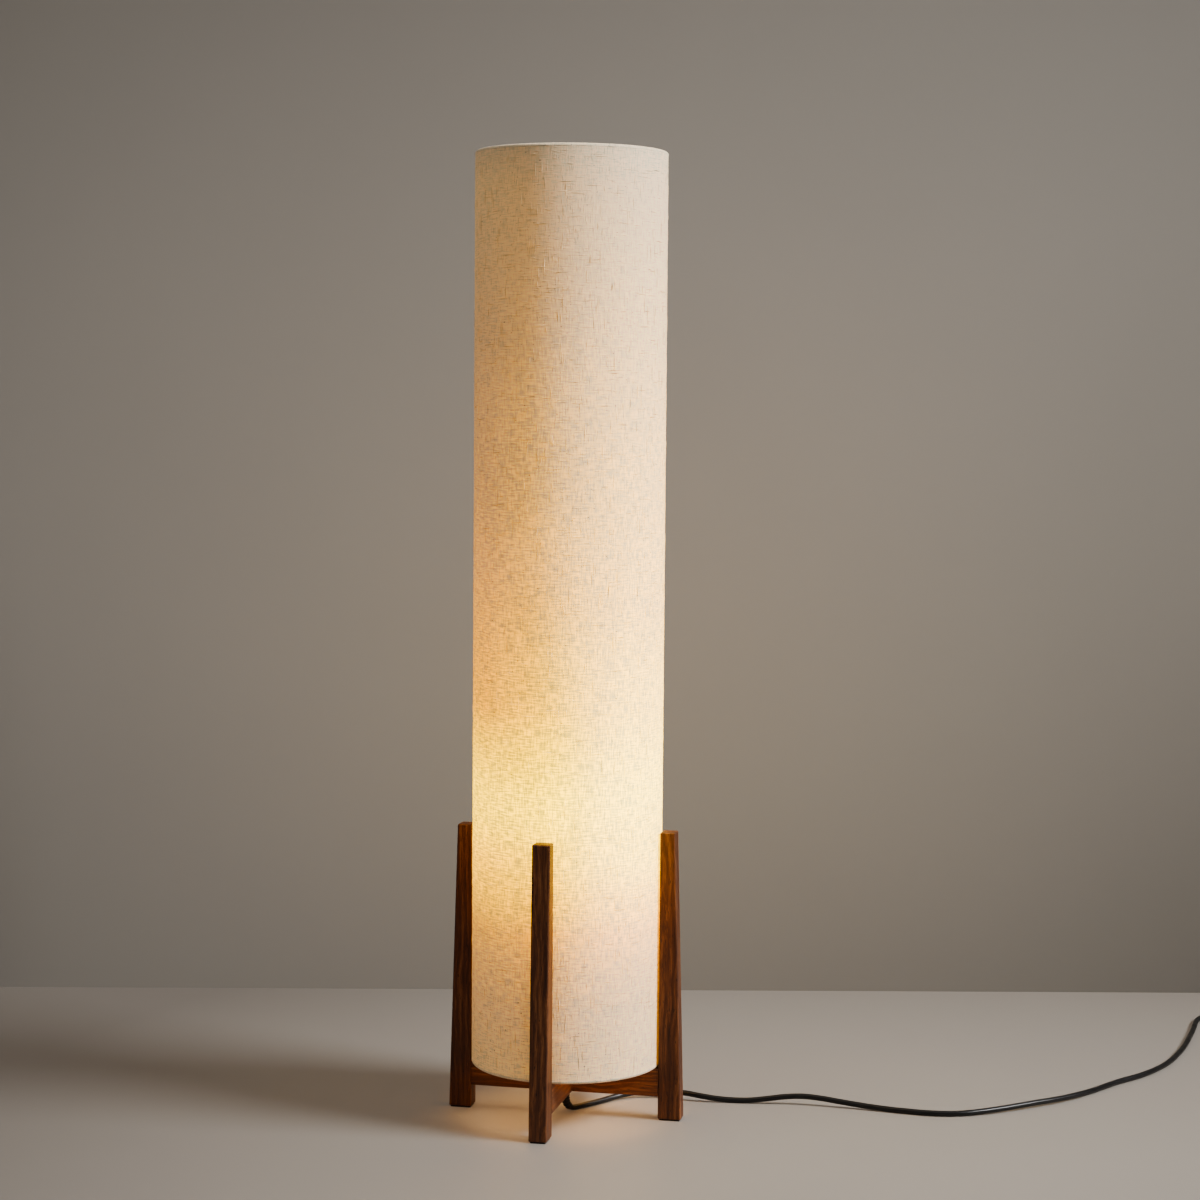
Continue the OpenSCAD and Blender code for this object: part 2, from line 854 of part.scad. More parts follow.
// Pod with round ends: half_w wide to each side, edges rounded at its bottom
module pod(half_w, h, edge) {
    module half_section() {
        square([half_w - edge, h]);
        translate([0, edge]) square([half_w, h - edge]);
        translate([half_w - edge, edge]) circle(edge, $fn = 32);
    }
    for (side = [-1, 1])
        translate([side * switch_straight / 2, 0, 0])
            rotate_extrude()
                intersection() {
                    half_section();
                    square([half_w, h]);
                }
    rotate([90, 0, 90])
        linear_extrude(switch_straight, center = true) {
            half_section();
            mirror([1, 0]) half_section();
        }
}

// One moulded half of the switch, floor down, with half of both spouts
module switch_half(h) {
    difference() {
        union() {
            pod(switch_half_w, h, switch_edge);
            intersection() {
                translate([0, 0, h])
                    rotate([0, 90, 0])
                        cylinder(r = spout_r, h = switch_l + 2 * spout_l, center = true);
                translate([-switch_l, -switch_w, 0])
                    cube([2 * switch_l, 2 * switch_w, h]);
            }
        }
        translate([0, 0, switch_wall])
            pod(switch_half_w - switch_wall, h, switch_edge - switch_wall / 2);
    }
}

module at_posts() {
    for (side = [-1, 1])
        translate([side * post_x, side * post_y, 0])
            children();
}

module at_switch() {
    translate(switch_mid) rotate(-90) children();
}

module switch_base() {
    color(black) at_switch()
        difference() {
            union() {
                switch_half(switch_base_h);
                at_posts() cylinder(r = post_r, h = switch_base_h);
            }
            at_posts() {
                translate([0, 0, -through])
                    cylinder(r = screw_r + screw_clear, h = switch_base_h + 2 * through, $fn = 32);
                translate([0, 0, -through])
                    cylinder(r = screw_head_r + screw_clear, h = switch_wall + through, $fn = 32);
            }
        }
}

// Upper shell: a window for the rocker and two lugs that carry its pin
module switch_cover() {
    roof_z = switch_h - switch_wall - rocker_pin_z;
    window_l = 2 * (sqrt(pow(rocker_r, 2) - pow(roof_z, 2)) + rocker_clear);
    lug_w = 7;
    lug_bottom = rocker_pin_z - 2.5;
    lug_y = rocker_w / 2 + rocker_clear;
    color(black) at_switch()
        difference() {
            union() {
                translate([0, 0, switch_h]) mirror([0, 0, 1]) switch_half(switch_cover_h);
                at_posts() translate([0, 0, switch_base_h])
                    cylinder(r = post_r, h = switch_cover_h - small);
                for (side = [0, 1])
                    mirror([0, side, 0])
                        translate([-lug_w / 2, lug_y, lug_bottom])
                            cube([lug_w, lug_t, switch_h - switch_wall / 2 - lug_bottom]);
            }
            translate([0, 0, switch_h])
                cube([window_l, 2 * lug_y, 3 * switch_wall], center = true);
            translate([0, 0, rocker_pin_z])
                rotate([90, 0, 0])
                    cylinder(
                        d = rocker_pin_d + 2 * pin_clear,
                        h = 2 * (lug_y + lug_t + through),
                        center = true,
                        $fn = 32
                    );
            at_posts() translate([0, 0, switch_base_h - through])
                cylinder(r = screw_r + screw_clear, h = switch_cover_h - switch_wall + through, $fn = 32);
        }
}

module switch_screws() {
    head_t = 1.4;
    shank = switch_base_h + switch_cover_h - 2 * switch_wall - 1;
    color(steel) at_switch() at_posts()
        translate([0, 0, switch_wall - head_t]) {
            cylinder(r = screw_head_r, h = head_t, $fn = 32);
            cylinder(r = screw_r, h = shank, $fn = 32);
        }
}

// Two angled brass strips on the switch's floor, one under each end of the rocker
module switch_contacts() {
    strip_x = 8;
    strip_w = 4;
    strip_l = 7;
    strip_h = 4;
    strip_t = 0.8;
    color(brass) at_switch()
        for (side = [0, 1])
            mirror([side, 0, 0])
                translate([strip_x, 0, switch_wall])
                    rotate([90, 0, 0])
                        linear_extrude(strip_w, center = true) {
                            translate([-strip_l / 2, 0]) square([strip_l, strip_t]);
                            translate([strip_l / 2 - strip_t, 0]) square([strip_t, strip_h]);
                        }
}

// Rocker: two wings that meet in a shallow valley, and a foot that throws the contacts
module rocker() {
    end_x = rocker_r + through;
    wing_top = rocker_crown + end_x * tan(rocker_tilt);
    wing_bottom = 1.5;
    hub_r = 5;
    foot_half_w = 2.2;
    foot_z = -5.4;
    half = [
        [foot_half_w, foot_z], [hub_r, -hub_r / 2], [end_x, wing_bottom], [end_x, wing_top]
    ];
    other = [for (i = [len(half) - 1 : -1 : 0]) [-half[i][0], half[i][1]]];
    color([0.12, 0.12, 0.13]) at_switch()
        translate([0, 0, rocker_pin_z])
            rotate([0, rocker_tilt, 0])
                rotate([90, 0, 0])
                    difference() {
                        intersection() {
                            cylinder(r = rocker_r, h = rocker_w, center = true, $fn = fine_fn);
                            linear_extrude(rocker_w, center = true)
                                polygon(concat(half, [[0, rocker_crown]], other));
                        }
                        cylinder(
                            d = rocker_pin_d + 2 * pin_clear,
                            h = 2 * rocker_w,
                            center = true,
                            $fn = 32
                        );
                    }
}

module rocker_pin() {
    pin_l = rocker_w + 2 * (rocker_clear + lug_t);
    color(steel) at_switch()
        translate([0, 0, rocker_pin_z])
            rotate([90, 0, 0])
                cylinder(d = rocker_pin_d, h = pin_l, center = true, $fn = 32);
}

// Coil: the lower layer winds in, climbs in the half turn where it reverses, and winds out
coil_end = 2 * coil_turns * 360;
function coil_share(a) = min(max((a - coil_end / 2 + 90) / 180, 0), 1);
function coil_radius(a) = coil_outer_r - coil_pitch * (a < coil_end / 2 ? a : coil_end - a) / 360;
function coil_height(a) = coil_z + coil_pitch * coil_share(a);
function coil_point(a) = [
    coil_mid[0] - coil_radius(a) * cos(a),
    coil_mid[1] - coil_radius(a) * sin(a),
    coil_height(a)
];
function coil_ring(a) = [coil_point(a), unit(coil_point(a + 1) - coil_point(a - 1))];
coil_step = 360 / coil_rings;
coil_path = concat(
    [[[coil_start[0], coil_start[1], coil_z], [0, -1, 0]]],
    [for (a = [0 : coil_step : coil_end]) a == 0 || a == coil_end
        ? [coil_point(a), [0, -1, 0]]
        : coil_ring(a)],
    [[[coil_start[0], tail_start, coil_upper_z], [0, -1, 0]]]
);
coil_points = [for (ring = coil_path) ring[0]];
coil_apart = [
    for (i = [0 : len(coil_points) - 1], k = [i + coil_rings / 2 : 1 : len(coil_points) - 1])
        norm(coil_points[i] - coil_points[k]) - cord_d
];
echo(least_gap_in_coil = min(coil_apart));

module cord_coil() { flex(coil_path, coil_sides); }

// Strap round the bundle of turns, opposite the coil's start, bent along with them
module coil_tie() {
    bundle = coil_pitch * (coil_turns - 1) + cord_d;
    bundle_h = coil_pitch + cord_d;
    air = 0.45;
    tie_arc = tie_w / coil_mean_r * 180 / PI;
    color([0.1, 0.1, 0.1])
        translate([coil_mid[0], coil_mid[1], 0])
            rotate(-tie_arc / 2)
                rotate_extrude(angle = tie_arc, $fn = fine_fn)
                    translate([coil_mean_r, tie_t + bundle_h / 2])
                        difference() {
                            round_rect(bundle + 2 * (tie_t + air), bundle_h + 2 * tie_t, cord_r + tie_t);
                            round_rect(bundle + 2 * air, bundle_h + small, cord_r);
                        }
}

module at_plug() {
    translate([coil_start[0], plug_back, plug_mid_z]) rotate([0, 0, -90]) children();
}

// Ribbed neck between the flex and the plug
module plug_relief() {
    rib_gap = relief_l / relief_ribs;
    color(black) at_plug()
        translate([-relief_l, 0, 0])
            rotate([0, 90, 0])
                rotate_extrude()
                    union() {
                        polygon([[0, 0], [cord_r + 0.4, 0], [cord_r + 1.4, relief_l], [0, relief_l]]);
                        for (i = [0 : relief_ribs - 1])
                            translate([0, (i + 0.4) * rib_gap])
                                square([cord_r + 1.2 + 0.9 * i / relief_ribs, rib_gap / 2]);
                    }
}

// Body: a flat block at the pins that draws in to the neck
module plug_body() {
    block_l = plug_l - plug_step_l;
    color(black) at_plug()
        difference() {
            union() {
                hull() {
                    rotate([90, 0, 90])
                        linear_extrude(through)
                            circle(plug_neck_r, $fn = 32);
                    translate([plug_step_l, 0, 0])
                        rotate([90, 0, 90])
                            linear_extrude(through, $fn = 32)
                                round_rect(plug_w, plug_t, plug_edge);
                }
                translate([plug_step_l, 0, 0])
                    rotate([90, 0, 90])
                        linear_extrude(block_l)
                            round_rect(plug_w, plug_t, plug_edge);
            }
            at_pins()
                cylinder(r = sleeve_r + small, h = 2 * pin_root, center = true, $fn = 32);
        }
}

// Both pin places on the plug's face, with z along the pin
module at_pins() {
    for (side = [-1, 1])
        translate([plug_l, side * plug_pin_gap / 2, 0])
            rotate([0, 90, -side * pin_lean])
                children();
}

// Brass pins with bevelled ends, standing on the bottoms of their holes
module plug_pins() {
    bevel = 1;
    shank_l = plug_pin_l + pin_root - bevel;
    color(brass) at_plug() at_pins()
        translate([0, 0, small - pin_root]) {
            cylinder(r = plug_pin_d / 2, h = shank_l, $fn = 32);
            translate([0, 0, shank_l - small])
                cylinder(r1 = plug_pin_d / 2, r2 = plug_pin_d / 2 - bevel, h = bevel, $fn = 32);
        }
}

module pin_sleeves() {
    color(black) at_plug() at_pins()
        difference() {
            translate([0, 0, small - pin_root])
                cylinder(r = sleeve_r, h = sleeve_l + pin_root, $fn = 32);
            translate([0, 0, -pin_root - through])
                cylinder(r = plug_pin_d / 2 + small, h = 2 * plug_pin_l, $fn = 32);
        }
}

// ---- The parts, one line each ----

leg_front();
leg_right();
leg_back();
leg_left();
rail_x();
rail_y();
foot_pads();
nut_washer();
rod_nut();
threaded_rod();
rail_plate();
stem_tube();
holder_cap();
lock_screw();
contact_block();
holder_shell();
screw_shell();
centre_contact();
terminal_screws();
live_core();
neutral_core();
inner_flex();
bulb_tip();
bulb_insulator();
bulb_cap();
bulb_collar();
led_board();
led_chips();
bulb_globe();
ring_bottom();
ring_top();
shade_liner();
shade_fabric();
shade_lap();
binding_bottom();
binding_top();
cord_grip();
cord_lead();
switch_base();
switch_cover();
switch_screws();
switch_contacts();
rocker();
rocker_pin();
cord_link();
cord_coil();
coil_tie();
cord_tail();
plug_relief();
plug_body();
plug_pins();
pin_sleeves();
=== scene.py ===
"""Looks of the column floor lamp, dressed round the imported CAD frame. Metres, +Z up."""
import json
import math
import random

import bmesh
import bpy
from mathutils import Matrix, Vector


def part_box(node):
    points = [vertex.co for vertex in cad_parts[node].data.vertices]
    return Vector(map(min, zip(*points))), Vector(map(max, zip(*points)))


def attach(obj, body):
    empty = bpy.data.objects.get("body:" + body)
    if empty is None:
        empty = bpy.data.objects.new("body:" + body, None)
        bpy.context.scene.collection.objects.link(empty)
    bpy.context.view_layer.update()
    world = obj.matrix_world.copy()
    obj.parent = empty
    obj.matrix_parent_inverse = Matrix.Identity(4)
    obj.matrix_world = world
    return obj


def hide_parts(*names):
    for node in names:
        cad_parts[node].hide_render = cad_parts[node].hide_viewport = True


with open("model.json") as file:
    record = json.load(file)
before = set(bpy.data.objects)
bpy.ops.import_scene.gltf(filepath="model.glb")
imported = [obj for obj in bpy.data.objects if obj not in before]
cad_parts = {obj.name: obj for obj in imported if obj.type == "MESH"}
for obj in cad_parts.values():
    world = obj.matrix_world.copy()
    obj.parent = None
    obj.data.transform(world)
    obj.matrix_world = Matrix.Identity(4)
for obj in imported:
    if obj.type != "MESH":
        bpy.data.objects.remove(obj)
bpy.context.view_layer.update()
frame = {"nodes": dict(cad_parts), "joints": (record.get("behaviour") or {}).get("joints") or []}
nodes = frame["nodes"]
joints = {joint["name"]: joint for joint in frame["joints"]}

MM = 0.001

# Sizes that the scene's own pieces share with the solids
SHADE_R = 100 * MM
SHADE_BOTTOM = 55.3 * MM
SHADE_TOP = 1011.3 * MM
LINEN_T = 0.6 * MM
CORD_R = 3 * MM
THREAD_PITCH = 3.629 * MM


# ---- Helpers: nodes ----

# The sockets of a Mix node that mixes colours: its two inputs and its output
MIX_A, MIX_B, MIX_OUT = 6, 7, 2


def add(tree, kind, links=None, stops=(), **settings):
    """Adds a node. links gives each input a number, a socket, or a node for its first output;
    stops are a colour ramp's (place, colour) stops, and settings are the node's own."""
    made = tree.nodes.new(kind)
    for name, value in settings.items():
        setattr(made, name, value)
    for socket, value in (links or {}).items():
        if isinstance(value, bpy.types.Node):
            value = value.outputs[0]
        if isinstance(value, bpy.types.NodeSocket):
            tree.links.new(value, made.inputs[socket])
        else:
            made.inputs[socket].default_value = value
    for _ in stops[2:]:
        made.color_ramp.elements.new(0.5)
    for number, (spot, colour) in enumerate(stops):
        element = made.color_ramp.elements[number]
        element.position = spot
        element.color = colour if len(colour) == 4 else (*colour, 1)
    return made


def grains(tree, source, size, detail=2.0, roughness=0.5, shift=(0, 0, 0)):
    """Noise whose grains are size millimetres long on each axis."""
    place = add(tree, "ShaderNodeMapping", {
        "Vector": source, "Location": shift, "Scale": [1 / (s * MM) for s in size]})
    return add(tree, "ShaderNodeTexNoise", {
        "Vector": place, "Scale": 1.0, "Detail": detail, "Roughness": roughness})


# ---- Helpers: meshes ----

def dressed(made, material):
    """Gives an object its one material."""
    made.data.materials.clear()
    made.data.materials.append(material)
    return made


def placed(made, body):
    """Puts an object in the scene, on its CAD body."""
    bpy.context.scene.collection.objects.link(made)
    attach(made, body)
    return made


def piece(name, points, faces, body, material, smooth=True, uvs=None):
    """A mesh object of the lamp that rides on a CAD body, with its place in its mesh."""
    mesh = bpy.data.meshes.new(name)
    mesh.from_pydata(points, [], faces)
    if uvs is not None:
        layer = mesh.uv_layers.new(name="UVMap")
        for loop in mesh.loops:
            layer.data[loop.index].uv = uvs[loop.vertex_index]
    for face in mesh.polygons:
        face.use_smooth = smooth
    mesh.update()
    return placed(dressed(bpy.data.objects.new(name, mesh), material), body)


def grid_faces(across, rows, closed=False):
    """Quads of a grid of points, stored row by row; a closed grid meets itself both ways."""
    faces = []
    for j in range(rows if closed else rows - 1):
        for i in range(across if closed else across - 1):
            start, end, after = j * across, (j + 1) % rows * across, (i + 1) % across
            faces.append((start + i, start + after, end + after, end + i))
    return faces


# ---- Helpers: curves along lists of points ----

CURVE_STEPS = 5


def in_metres(points):
    return [Vector(p) * MM for p in points]


def smooth_route(points):
    """The Catmull-Rom curve through points in millimetres, which the solids follow too."""
    points = in_metres(points)
    ends = [2 * points[0] - points[1]] + points + [2 * points[-1] - points[-2]]
    made = []
    for i in range(len(points) - 1):
        a, b, c, d = ends[i:i + 4]
        for s in range(CURVE_STEPS):
            t = s / CURVE_STEPS
            made.append((2 * b + (c - a) * t + (2 * a - 5 * b + 4 * c - d) * t * t
                         + (3 * b - a - 3 * c + d) * t ** 3) / 2)
    return made + [points[-1]]


# ---- Helpers: Geometry Nodes ----

def sized_tree(name, sizes):
    """A Geometry Nodes tree with a named input for each size; returns it and its inputs."""
    tree = bpy.data.node_groups.new(name, "GeometryNodeTree")
    tree.interface.new_socket("Geometry", in_out="INPUT", socket_type="NodeSocketGeometry")
    for label, value in sizes.items():
        kind = "NodeSocketInt" if isinstance(value, int) else "NodeSocketFloat"
        tree.interface.new_socket(label, in_out="INPUT", socket_type=kind)
    tree.interface.new_socket("Geometry", in_out="OUTPUT", socket_type="NodeSocketGeometry")
    return tree, add(tree, "NodeGroupInput").outputs


def grown(name, tree, shape, sizes, material, route=()):
    """Ends a tree, runs it on a route of points, and keeps the result as a plain mesh object."""
    smooth = add(tree, "GeometryNodeSetShadeSmooth", {0: shape})
    real = add(tree, "GeometryNodeRealizeInstances", {0: smooth})
    add(tree, "NodeGroupOutput", {0: add(
        tree, "GeometryNodeSetMaterial", {0: real, "Material": material})})
    line = bpy.data.meshes.new(name + "_route")
    line.from_pydata([tuple(p) for p in route], [(i, i + 1) for i in range(len(route) - 1)], [])
    source = bpy.data.objects.new(name + "_route", line)
    growth = source.modifiers.new("growth", "NODES")
    growth.node_group = tree
    for socket in tree.interface.items_tree:
        if socket.in_out == "INPUT" and socket.name in sizes:
            growth[socket.identifier] = sizes[socket.name]
    bpy.context.scene.collection.objects.link(source)
    seen = bpy.context.evaluated_depsgraph_get()
    mesh = bpy.data.meshes.new_from_object(source.evaluated_get(seen), depsgraph=seen)
    source.modifiers.remove(growth)
    bpy.data.objects.remove(source)
    mesh.name = name
    return bpy.data.objects.new(name, mesh)


def wrapped(tree, shape, angle, radius, height):
    """Moves each point to its angle, radius and height round the lamp's axis."""
    x, y = [add(tree, "ShaderNodeMath", {
        0: radius, 1: add(tree, "ShaderNodeMath", {0: angle}, operation=way)},
        operation="MULTIPLY") for way in ("COSINE", "SINE")]
    place = add(tree, "ShaderNodeCombineXYZ", {0: x, 1: y, 2: height})
    return add(tree, "GeometryNodeSetPosition", {0: shape, "Position": place})


def position_of(tree):
    """The X, Y and Z of each point."""
    here = add(tree, "GeometryNodeInputPosition")
    return add(tree, "ShaderNodeSeparateXYZ", {0: here}).outputs


# ---- Helpers: materials ----

def srgb(code):
    """A hex colour as linear RGBA."""
    parts = [int(code[i:i + 2], 16) / 255 for i in (1, 3, 5)]
    return (*[c / 12.92 if c <= 0.04045 else ((c + 0.055) / 1.055) ** 2.4 for c in parts], 1)


def new_material(name):
    """An empty material, its tree, and its output node."""
    made = bpy.data.materials.new(name)
    made.use_nodes = True
    made.node_tree.nodes.clear()
    return made, made.node_tree, add(made.node_tree, "ShaderNodeOutputMaterial")


def add_end(tree, shader, out):
    """Joins the finished shader to the material's output."""
    tree.links.new(shader.outputs[0], out.inputs["Surface"])


# How many times as long the slow changes of a surface are as its fine grain
BROADER = 14


def surface(name, colour, roughness, metallic=0.0, grain=0.4, stretch=(1, 1, 1), relief=0.02,
            spread=0.08, tone=0.12, **settings):
    """A moulded, rolled or painted surface: grain is the size of its unevenness in millimetres,
    which stretch draws out along an axis, relief the depth of it in millimetres, and spread and
    tone how far gloss and colour vary."""
    made, tree, out = new_material(name)
    place = add(tree, "ShaderNodeTexCoord").outputs["Object"]
    fine = grains(tree, place, [grain * s for s in stretch], 3, 0.6)
    broad = grains(tree, place, [grain * s * BROADER for s in stretch])
    base = srgb(colour)[:3]
    dark, light = [c * (1 - tone) for c in base], [min(c * (1 + tone), 1) for c in base]
    bump = add(tree, "ShaderNodeBump", {"Height": fine, "Distance": relief * MM, "Strength": 1.0})
    gloss = add(tree, "ShaderNodeMapRange", {
        "Value": broad, "From Min": 0.3, "From Max": 0.7,
        "To Min": max(roughness - spread, 0.02), "To Max": min(roughness + spread, 1)})
    add_end(tree, add(tree, "ShaderNodeBsdfPrincipled", {
        "Base Color": add(tree, "ShaderNodeValToRGB", {0: broad}, [(0.3, dark), (0.7, light)]),
        "Roughness": gloss, "Metallic": metallic, "Normal": bump, **settings}), out)
    return made


# ---- Camera, where the photograph was taken from ----

# The room is turned from the lamp by this much, and the camera a little less, in radians
VIEW_TURN = 0.2291
CAMERA_TURN = Matrix.Rotation(VIEW_TURN, 4, "Z")
CAMERA_PAN, CAMERA_DIP, CAMERA_ROLL = -0.0119, 0.0736, 0.0076
CAMERA_SPOT = (0.6217, -2.6660, 0.7481)
LENS_MM, SENSOR_MM = 78.52, 36


def make_camera():
    """Placed by fitting the lamp's edges in the photograph."""
    lens = bpy.data.cameras.new("photo_camera")
    lens.lens = LENS_MM
    lens.sensor_width = SENSOR_MM
    camera = bpy.data.objects.new("photo_camera", lens)
    bpy.context.scene.collection.objects.link(camera)
    turn = Matrix.Rotation(VIEW_TURN + CAMERA_PAN, 4, "Z")
    dip = Matrix.Rotation(math.pi / 2 - CAMERA_DIP, 4, "X")
    roll = Matrix.Rotation(CAMERA_ROLL, 4, "Z")
    camera.matrix_world = Matrix.Translation(CAMERA_SPOT) @ turn @ dip @ roll
    bpy.context.scene.camera = camera


make_camera()

# ---- Flex: first up to the switch, then on through the coil to the plug ----

# The solids' route over the floor, from inside the recess under the crossing, in millimetres
FLOOR_ROUTE = [
    (0, 0, 28.49), (0, 0, 22), (0, 0, 15.5), (1, 1.3, 9.3), (3.9, 4.9, 4.8), (7.8, 9.8, 3.1),
    (16, 21, 3.1), (29, 39, 3.4), (45, 61, 4.6), (65, 75, 6.4), (89, 79, 8), (114, 77, 8),
    (132, 76, 6.2), (148, 77, 4.2), (165, 79, 3.1), (184, 81, 3.4), (202, 84, 5.4),
    (222, 87, 8.2), (241, 89, 9.4), (260, 89, 8.6), (282, 88, 6.4), (306, 86, 4.4),
    (330, 83, 3.3), (352, 80, 3.1), (383, 78, 3.1), (413, 85, 3.2), (446, 105, 4.2),
    (483, 136, 5.2), (515, 170, 4.4), (543, 211, 3.2), (570, 258, 3.1), (599, 301, 3.1),
    (624, 358, 3.1), (642, 437, 3.1), (653, 525, 3.1), (660, 590, 3.1), (677, 612, 3.1),
    (697, 603, 3.1), (702, 585, 6.2), (702, 572, 9), (702, 566, 9)]
# The grip holds the flex up to this point of the route
GRIP_POINTS = 4
LINK_ROUTE = [(702, 494, 9), (702, 488, 9), (702, 474, 5.6), (702, 454, 3.8), (702, 442, 3.8)]
TAIL_ROUTE = [(702, 430, 10.3), (702, 422, 10.3), (702, 408, 8.55), (702, 398, 6.8),
              (702, 390, 6.8)]
COIL_MID = (741.5, 436)
COIL_OUTER, COIL_PITCH, COIL_Z = 39.5, 6.5, 3.8
# Turns in each of the two layers, and points in a turn
COIL_TURNS, COIL_STEPS = 2, 36


def coil_route():
    """Two turns in, a climb of half a turn on to the layer above, and two turns out."""
    end = 2 * COIL_TURNS * 360
    climb_start, climb = end / 2 - 90, 180
    made = []
    for i in range(2 * COIL_TURNS * COIL_STEPS + 1):
        a = 360 * i / COIL_STEPS
        r = COIL_OUTER - COIL_PITCH * (a if a < end / 2 else end - a) / 360
        z = COIL_Z + COIL_PITCH * min(max((a - climb_start) / climb, 0), 1)
        made.append((COIL_MID[0] - r * math.cos(math.radians(a)),
                     COIL_MID[1] - r * math.sin(math.radians(a)), z))
    return made


floor_route = smooth_route(FLOOR_ROUTE)
grip_route = floor_route[:GRIP_POINTS * CURVE_STEPS + 1]
lead_route = floor_route[GRIP_POINTS * CURVE_STEPS:]
rest_route = smooth_route(LINK_ROUTE) + in_metres(coil_route()) + smooth_route(TAIL_ROUTE)

# PVC, extruded: a satin black skin that keeps the faint lay of the cores under it
SHEATH = surface("pvc_extruded", "#141314", 0.36, grain=0.9, relief=0.03, spread=0.07, tone=0.25)


def flex(name, route):
    """A run of the round flex along a route, as a curve of one open spline."""
    curve = bpy.data.curves.new(name, "CURVE")
    curve.dimensions = "3D"
    curve.bevel_depth = CORD_R
    curve.bevel_resolution = 4
    curve.use_fill_caps = True
    spline = curve.splines.new("POLY")
    spline.points.add(len(route) - 1)
    for spot, p in zip(spline.points, route):
        spot.co = (*p, 1)
    spline.use_smooth = True
    return placed(dressed(bpy.data.objects.new(name, curve), SHEATH), "base")


lead = flex("flex_lead", lead_route)
rest = flex("flex_rest", rest_route)
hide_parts("cord_lead")
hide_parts("cord_link", "cord_coil", "cord_tail")

# ---- The grip: a ribbed sleeve where the flex leaves the base ----

# PVC, moulded soft: duller than the sheath, with a slight unevenness
SLEEVE = surface("pvc_moulded_soft", "#121213", 0.48, grain=0.7, relief=0.04, tone=0.25)


def ribbed_sleeve(name, node, route, wide, narrow, ribs, first_rib):
    """A tapered PVC sleeve round a flex, with raised ribs that let it bend evenly."""
    sizes = {"Wide": wide, "Narrow": narrow, "Rib Height": 0.55 * MM, "Ribs": ribs,
             "First Rib": first_rib, "Sides": 24, "Rings": 40 + 12 * ribs}
    tree, size = sized_tree(name, sizes)
    line = add(tree, "GeometryNodeMeshToCurve", {"Mesh": size["Geometry"]})
    line = add(tree, "GeometryNodeResampleCurve", {"Curve": line, "Count": size["Rings"]})
    along = add(tree, "GeometryNodeSplineParameter").outputs["Factor"]
    taper = add(tree, "ShaderNodeMapRange", {
        "Value": along, "To Min": size["Wide"], "To Max": size["Narrow"]})
    on_ribs = add(tree, "ShaderNodeMapRange", {"Value": along, "From Min": size["First Rib"]})
    turns = add(tree, "ShaderNodeMath", {0: on_ribs, 1: size["Ribs"]}, operation="MULTIPLY")
    angle = add(tree, "ShaderNodeMath", {0: turns, 1: math.tau}, operation="MULTIPLY")
    wave = add(tree, "ShaderNodeMath", {0: angle}, operation="SINE")
    rib = add(tree, "ShaderNodeMapRange", {
        "Value": wave, "From Min": -0.1, "From Max": 0.6, "To Max": size["Rib Height"]},
        interpolation_type="SMOOTHSTEP")
    ring = add(tree, "GeometryNodeCurvePrimitiveCircle", {
        "Resolution": size["Sides"], "Radius": 1.0})
    sleeve = add(tree, "GeometryNodeCurveToMesh", {
        "Curve": line, "Profile Curve": ring, "Fill Caps": True,
        "Scale": add(tree, "ShaderNodeMath", {0: taper, 1: rib}, operation="ADD")})
    made = placed(grown(name, tree, sleeve, sizes, SLEEVE, route), "base")
    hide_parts(node)
    return made


grip = ribbed_sleeve("flex_grip", "cord_grip", grip_route, 4.6 * MM, 3.35 * MM, 5, 0.35)

# ---- Materials: the shade ----

# How strongly the lit shade glows up its height, on its brighter side and on its dimmer side of
# painted shade: (share of the height, power, heat), where heat is 0 for amber and 1 for yellow
GLOW_BRIGHT_SIDE = [(0.0, 0.105, 0.1), (0.08, 0.14, 0), (0.12, 0.26, 0), (0.16, 0.46, 0),
             (0.2, 0.68, 0.35), (0.24, 0.91, 0.72), (0.31, 0.96, 0.88), (0.4, 0.77, 0.6),
             (0.51, 0.53, 0.36), (0.8, 0.205, 0.18), (0.96, 0.085, 0), (1.0, 0.02, 0)]
GLOW_PAINTED_DIM_SIDE = [(0.0, 0.055, 0.2), (0.08, 0.088, 0), (0.12, 0.135, 0), (0.16, 0.22, 0),
            (0.24, 0.63, 0.32), (0.28, 0.72, 0.65), (0.31, 0.715, 0.65), (0.4, 0.4, 0.05),
            (0.46, 0.29, 0), (0.62, 0.138, 0), (0.8, 0.068, 0), (0.96, 0.047, 0.2),
            (1.0, 0.02, 0.2)]
GLOW_STRENGTH = 3.6
# The way that the dimmer side of painted shade faces, how far round each side reaches, and how they
# blend
PAINTED_DIM_WAY, BRIGHT_SIDE_REACH, PAINTED_DIM_REACH, SIDE_POWER = math.radians(193), -0.6, 0.84, 0.9
# Painted light in the cloth's face, where the bulb outshines the room: (share of the height, how
# much of the cloth's blue goes)
PAINTED_GLOW_BAND = [(0.07, 0), (0.13, 0.15), (0.2, 0.95), (0.36, 1.0), (0.45, 0.5), (0.55, 0)]


def shade_place(tree, place):
    """How far up the shade a point is, and how far round to its dimmer side, as shares."""
    height = add(tree, "ShaderNodeSeparateXYZ", {0: place}).outputs["Z"]
    share = add(tree, "ShaderNodeMapRange", {
        "Value": height, "From Min": SHADE_BOTTOM, "From Max": SHADE_TOP})
    way = (math.cos(PAINTED_DIM_WAY) / SHADE_R, math.sin(PAINTED_DIM_WAY) / SHADE_R, 0)
    across = add(tree, "ShaderNodeVectorMath", {0: place, 1: way}, operation="DOT_PRODUCT")
    side = add(tree, "ShaderNodeMapRange", {
        "Value": across.outputs["Value"], "From Min": BRIGHT_SIDE_REACH, "From Max": PAINTED_DIM_REACH})
    return share, add(tree, "ShaderNodeMath", {0: side, 1: SIDE_POWER}, operation="POWER")


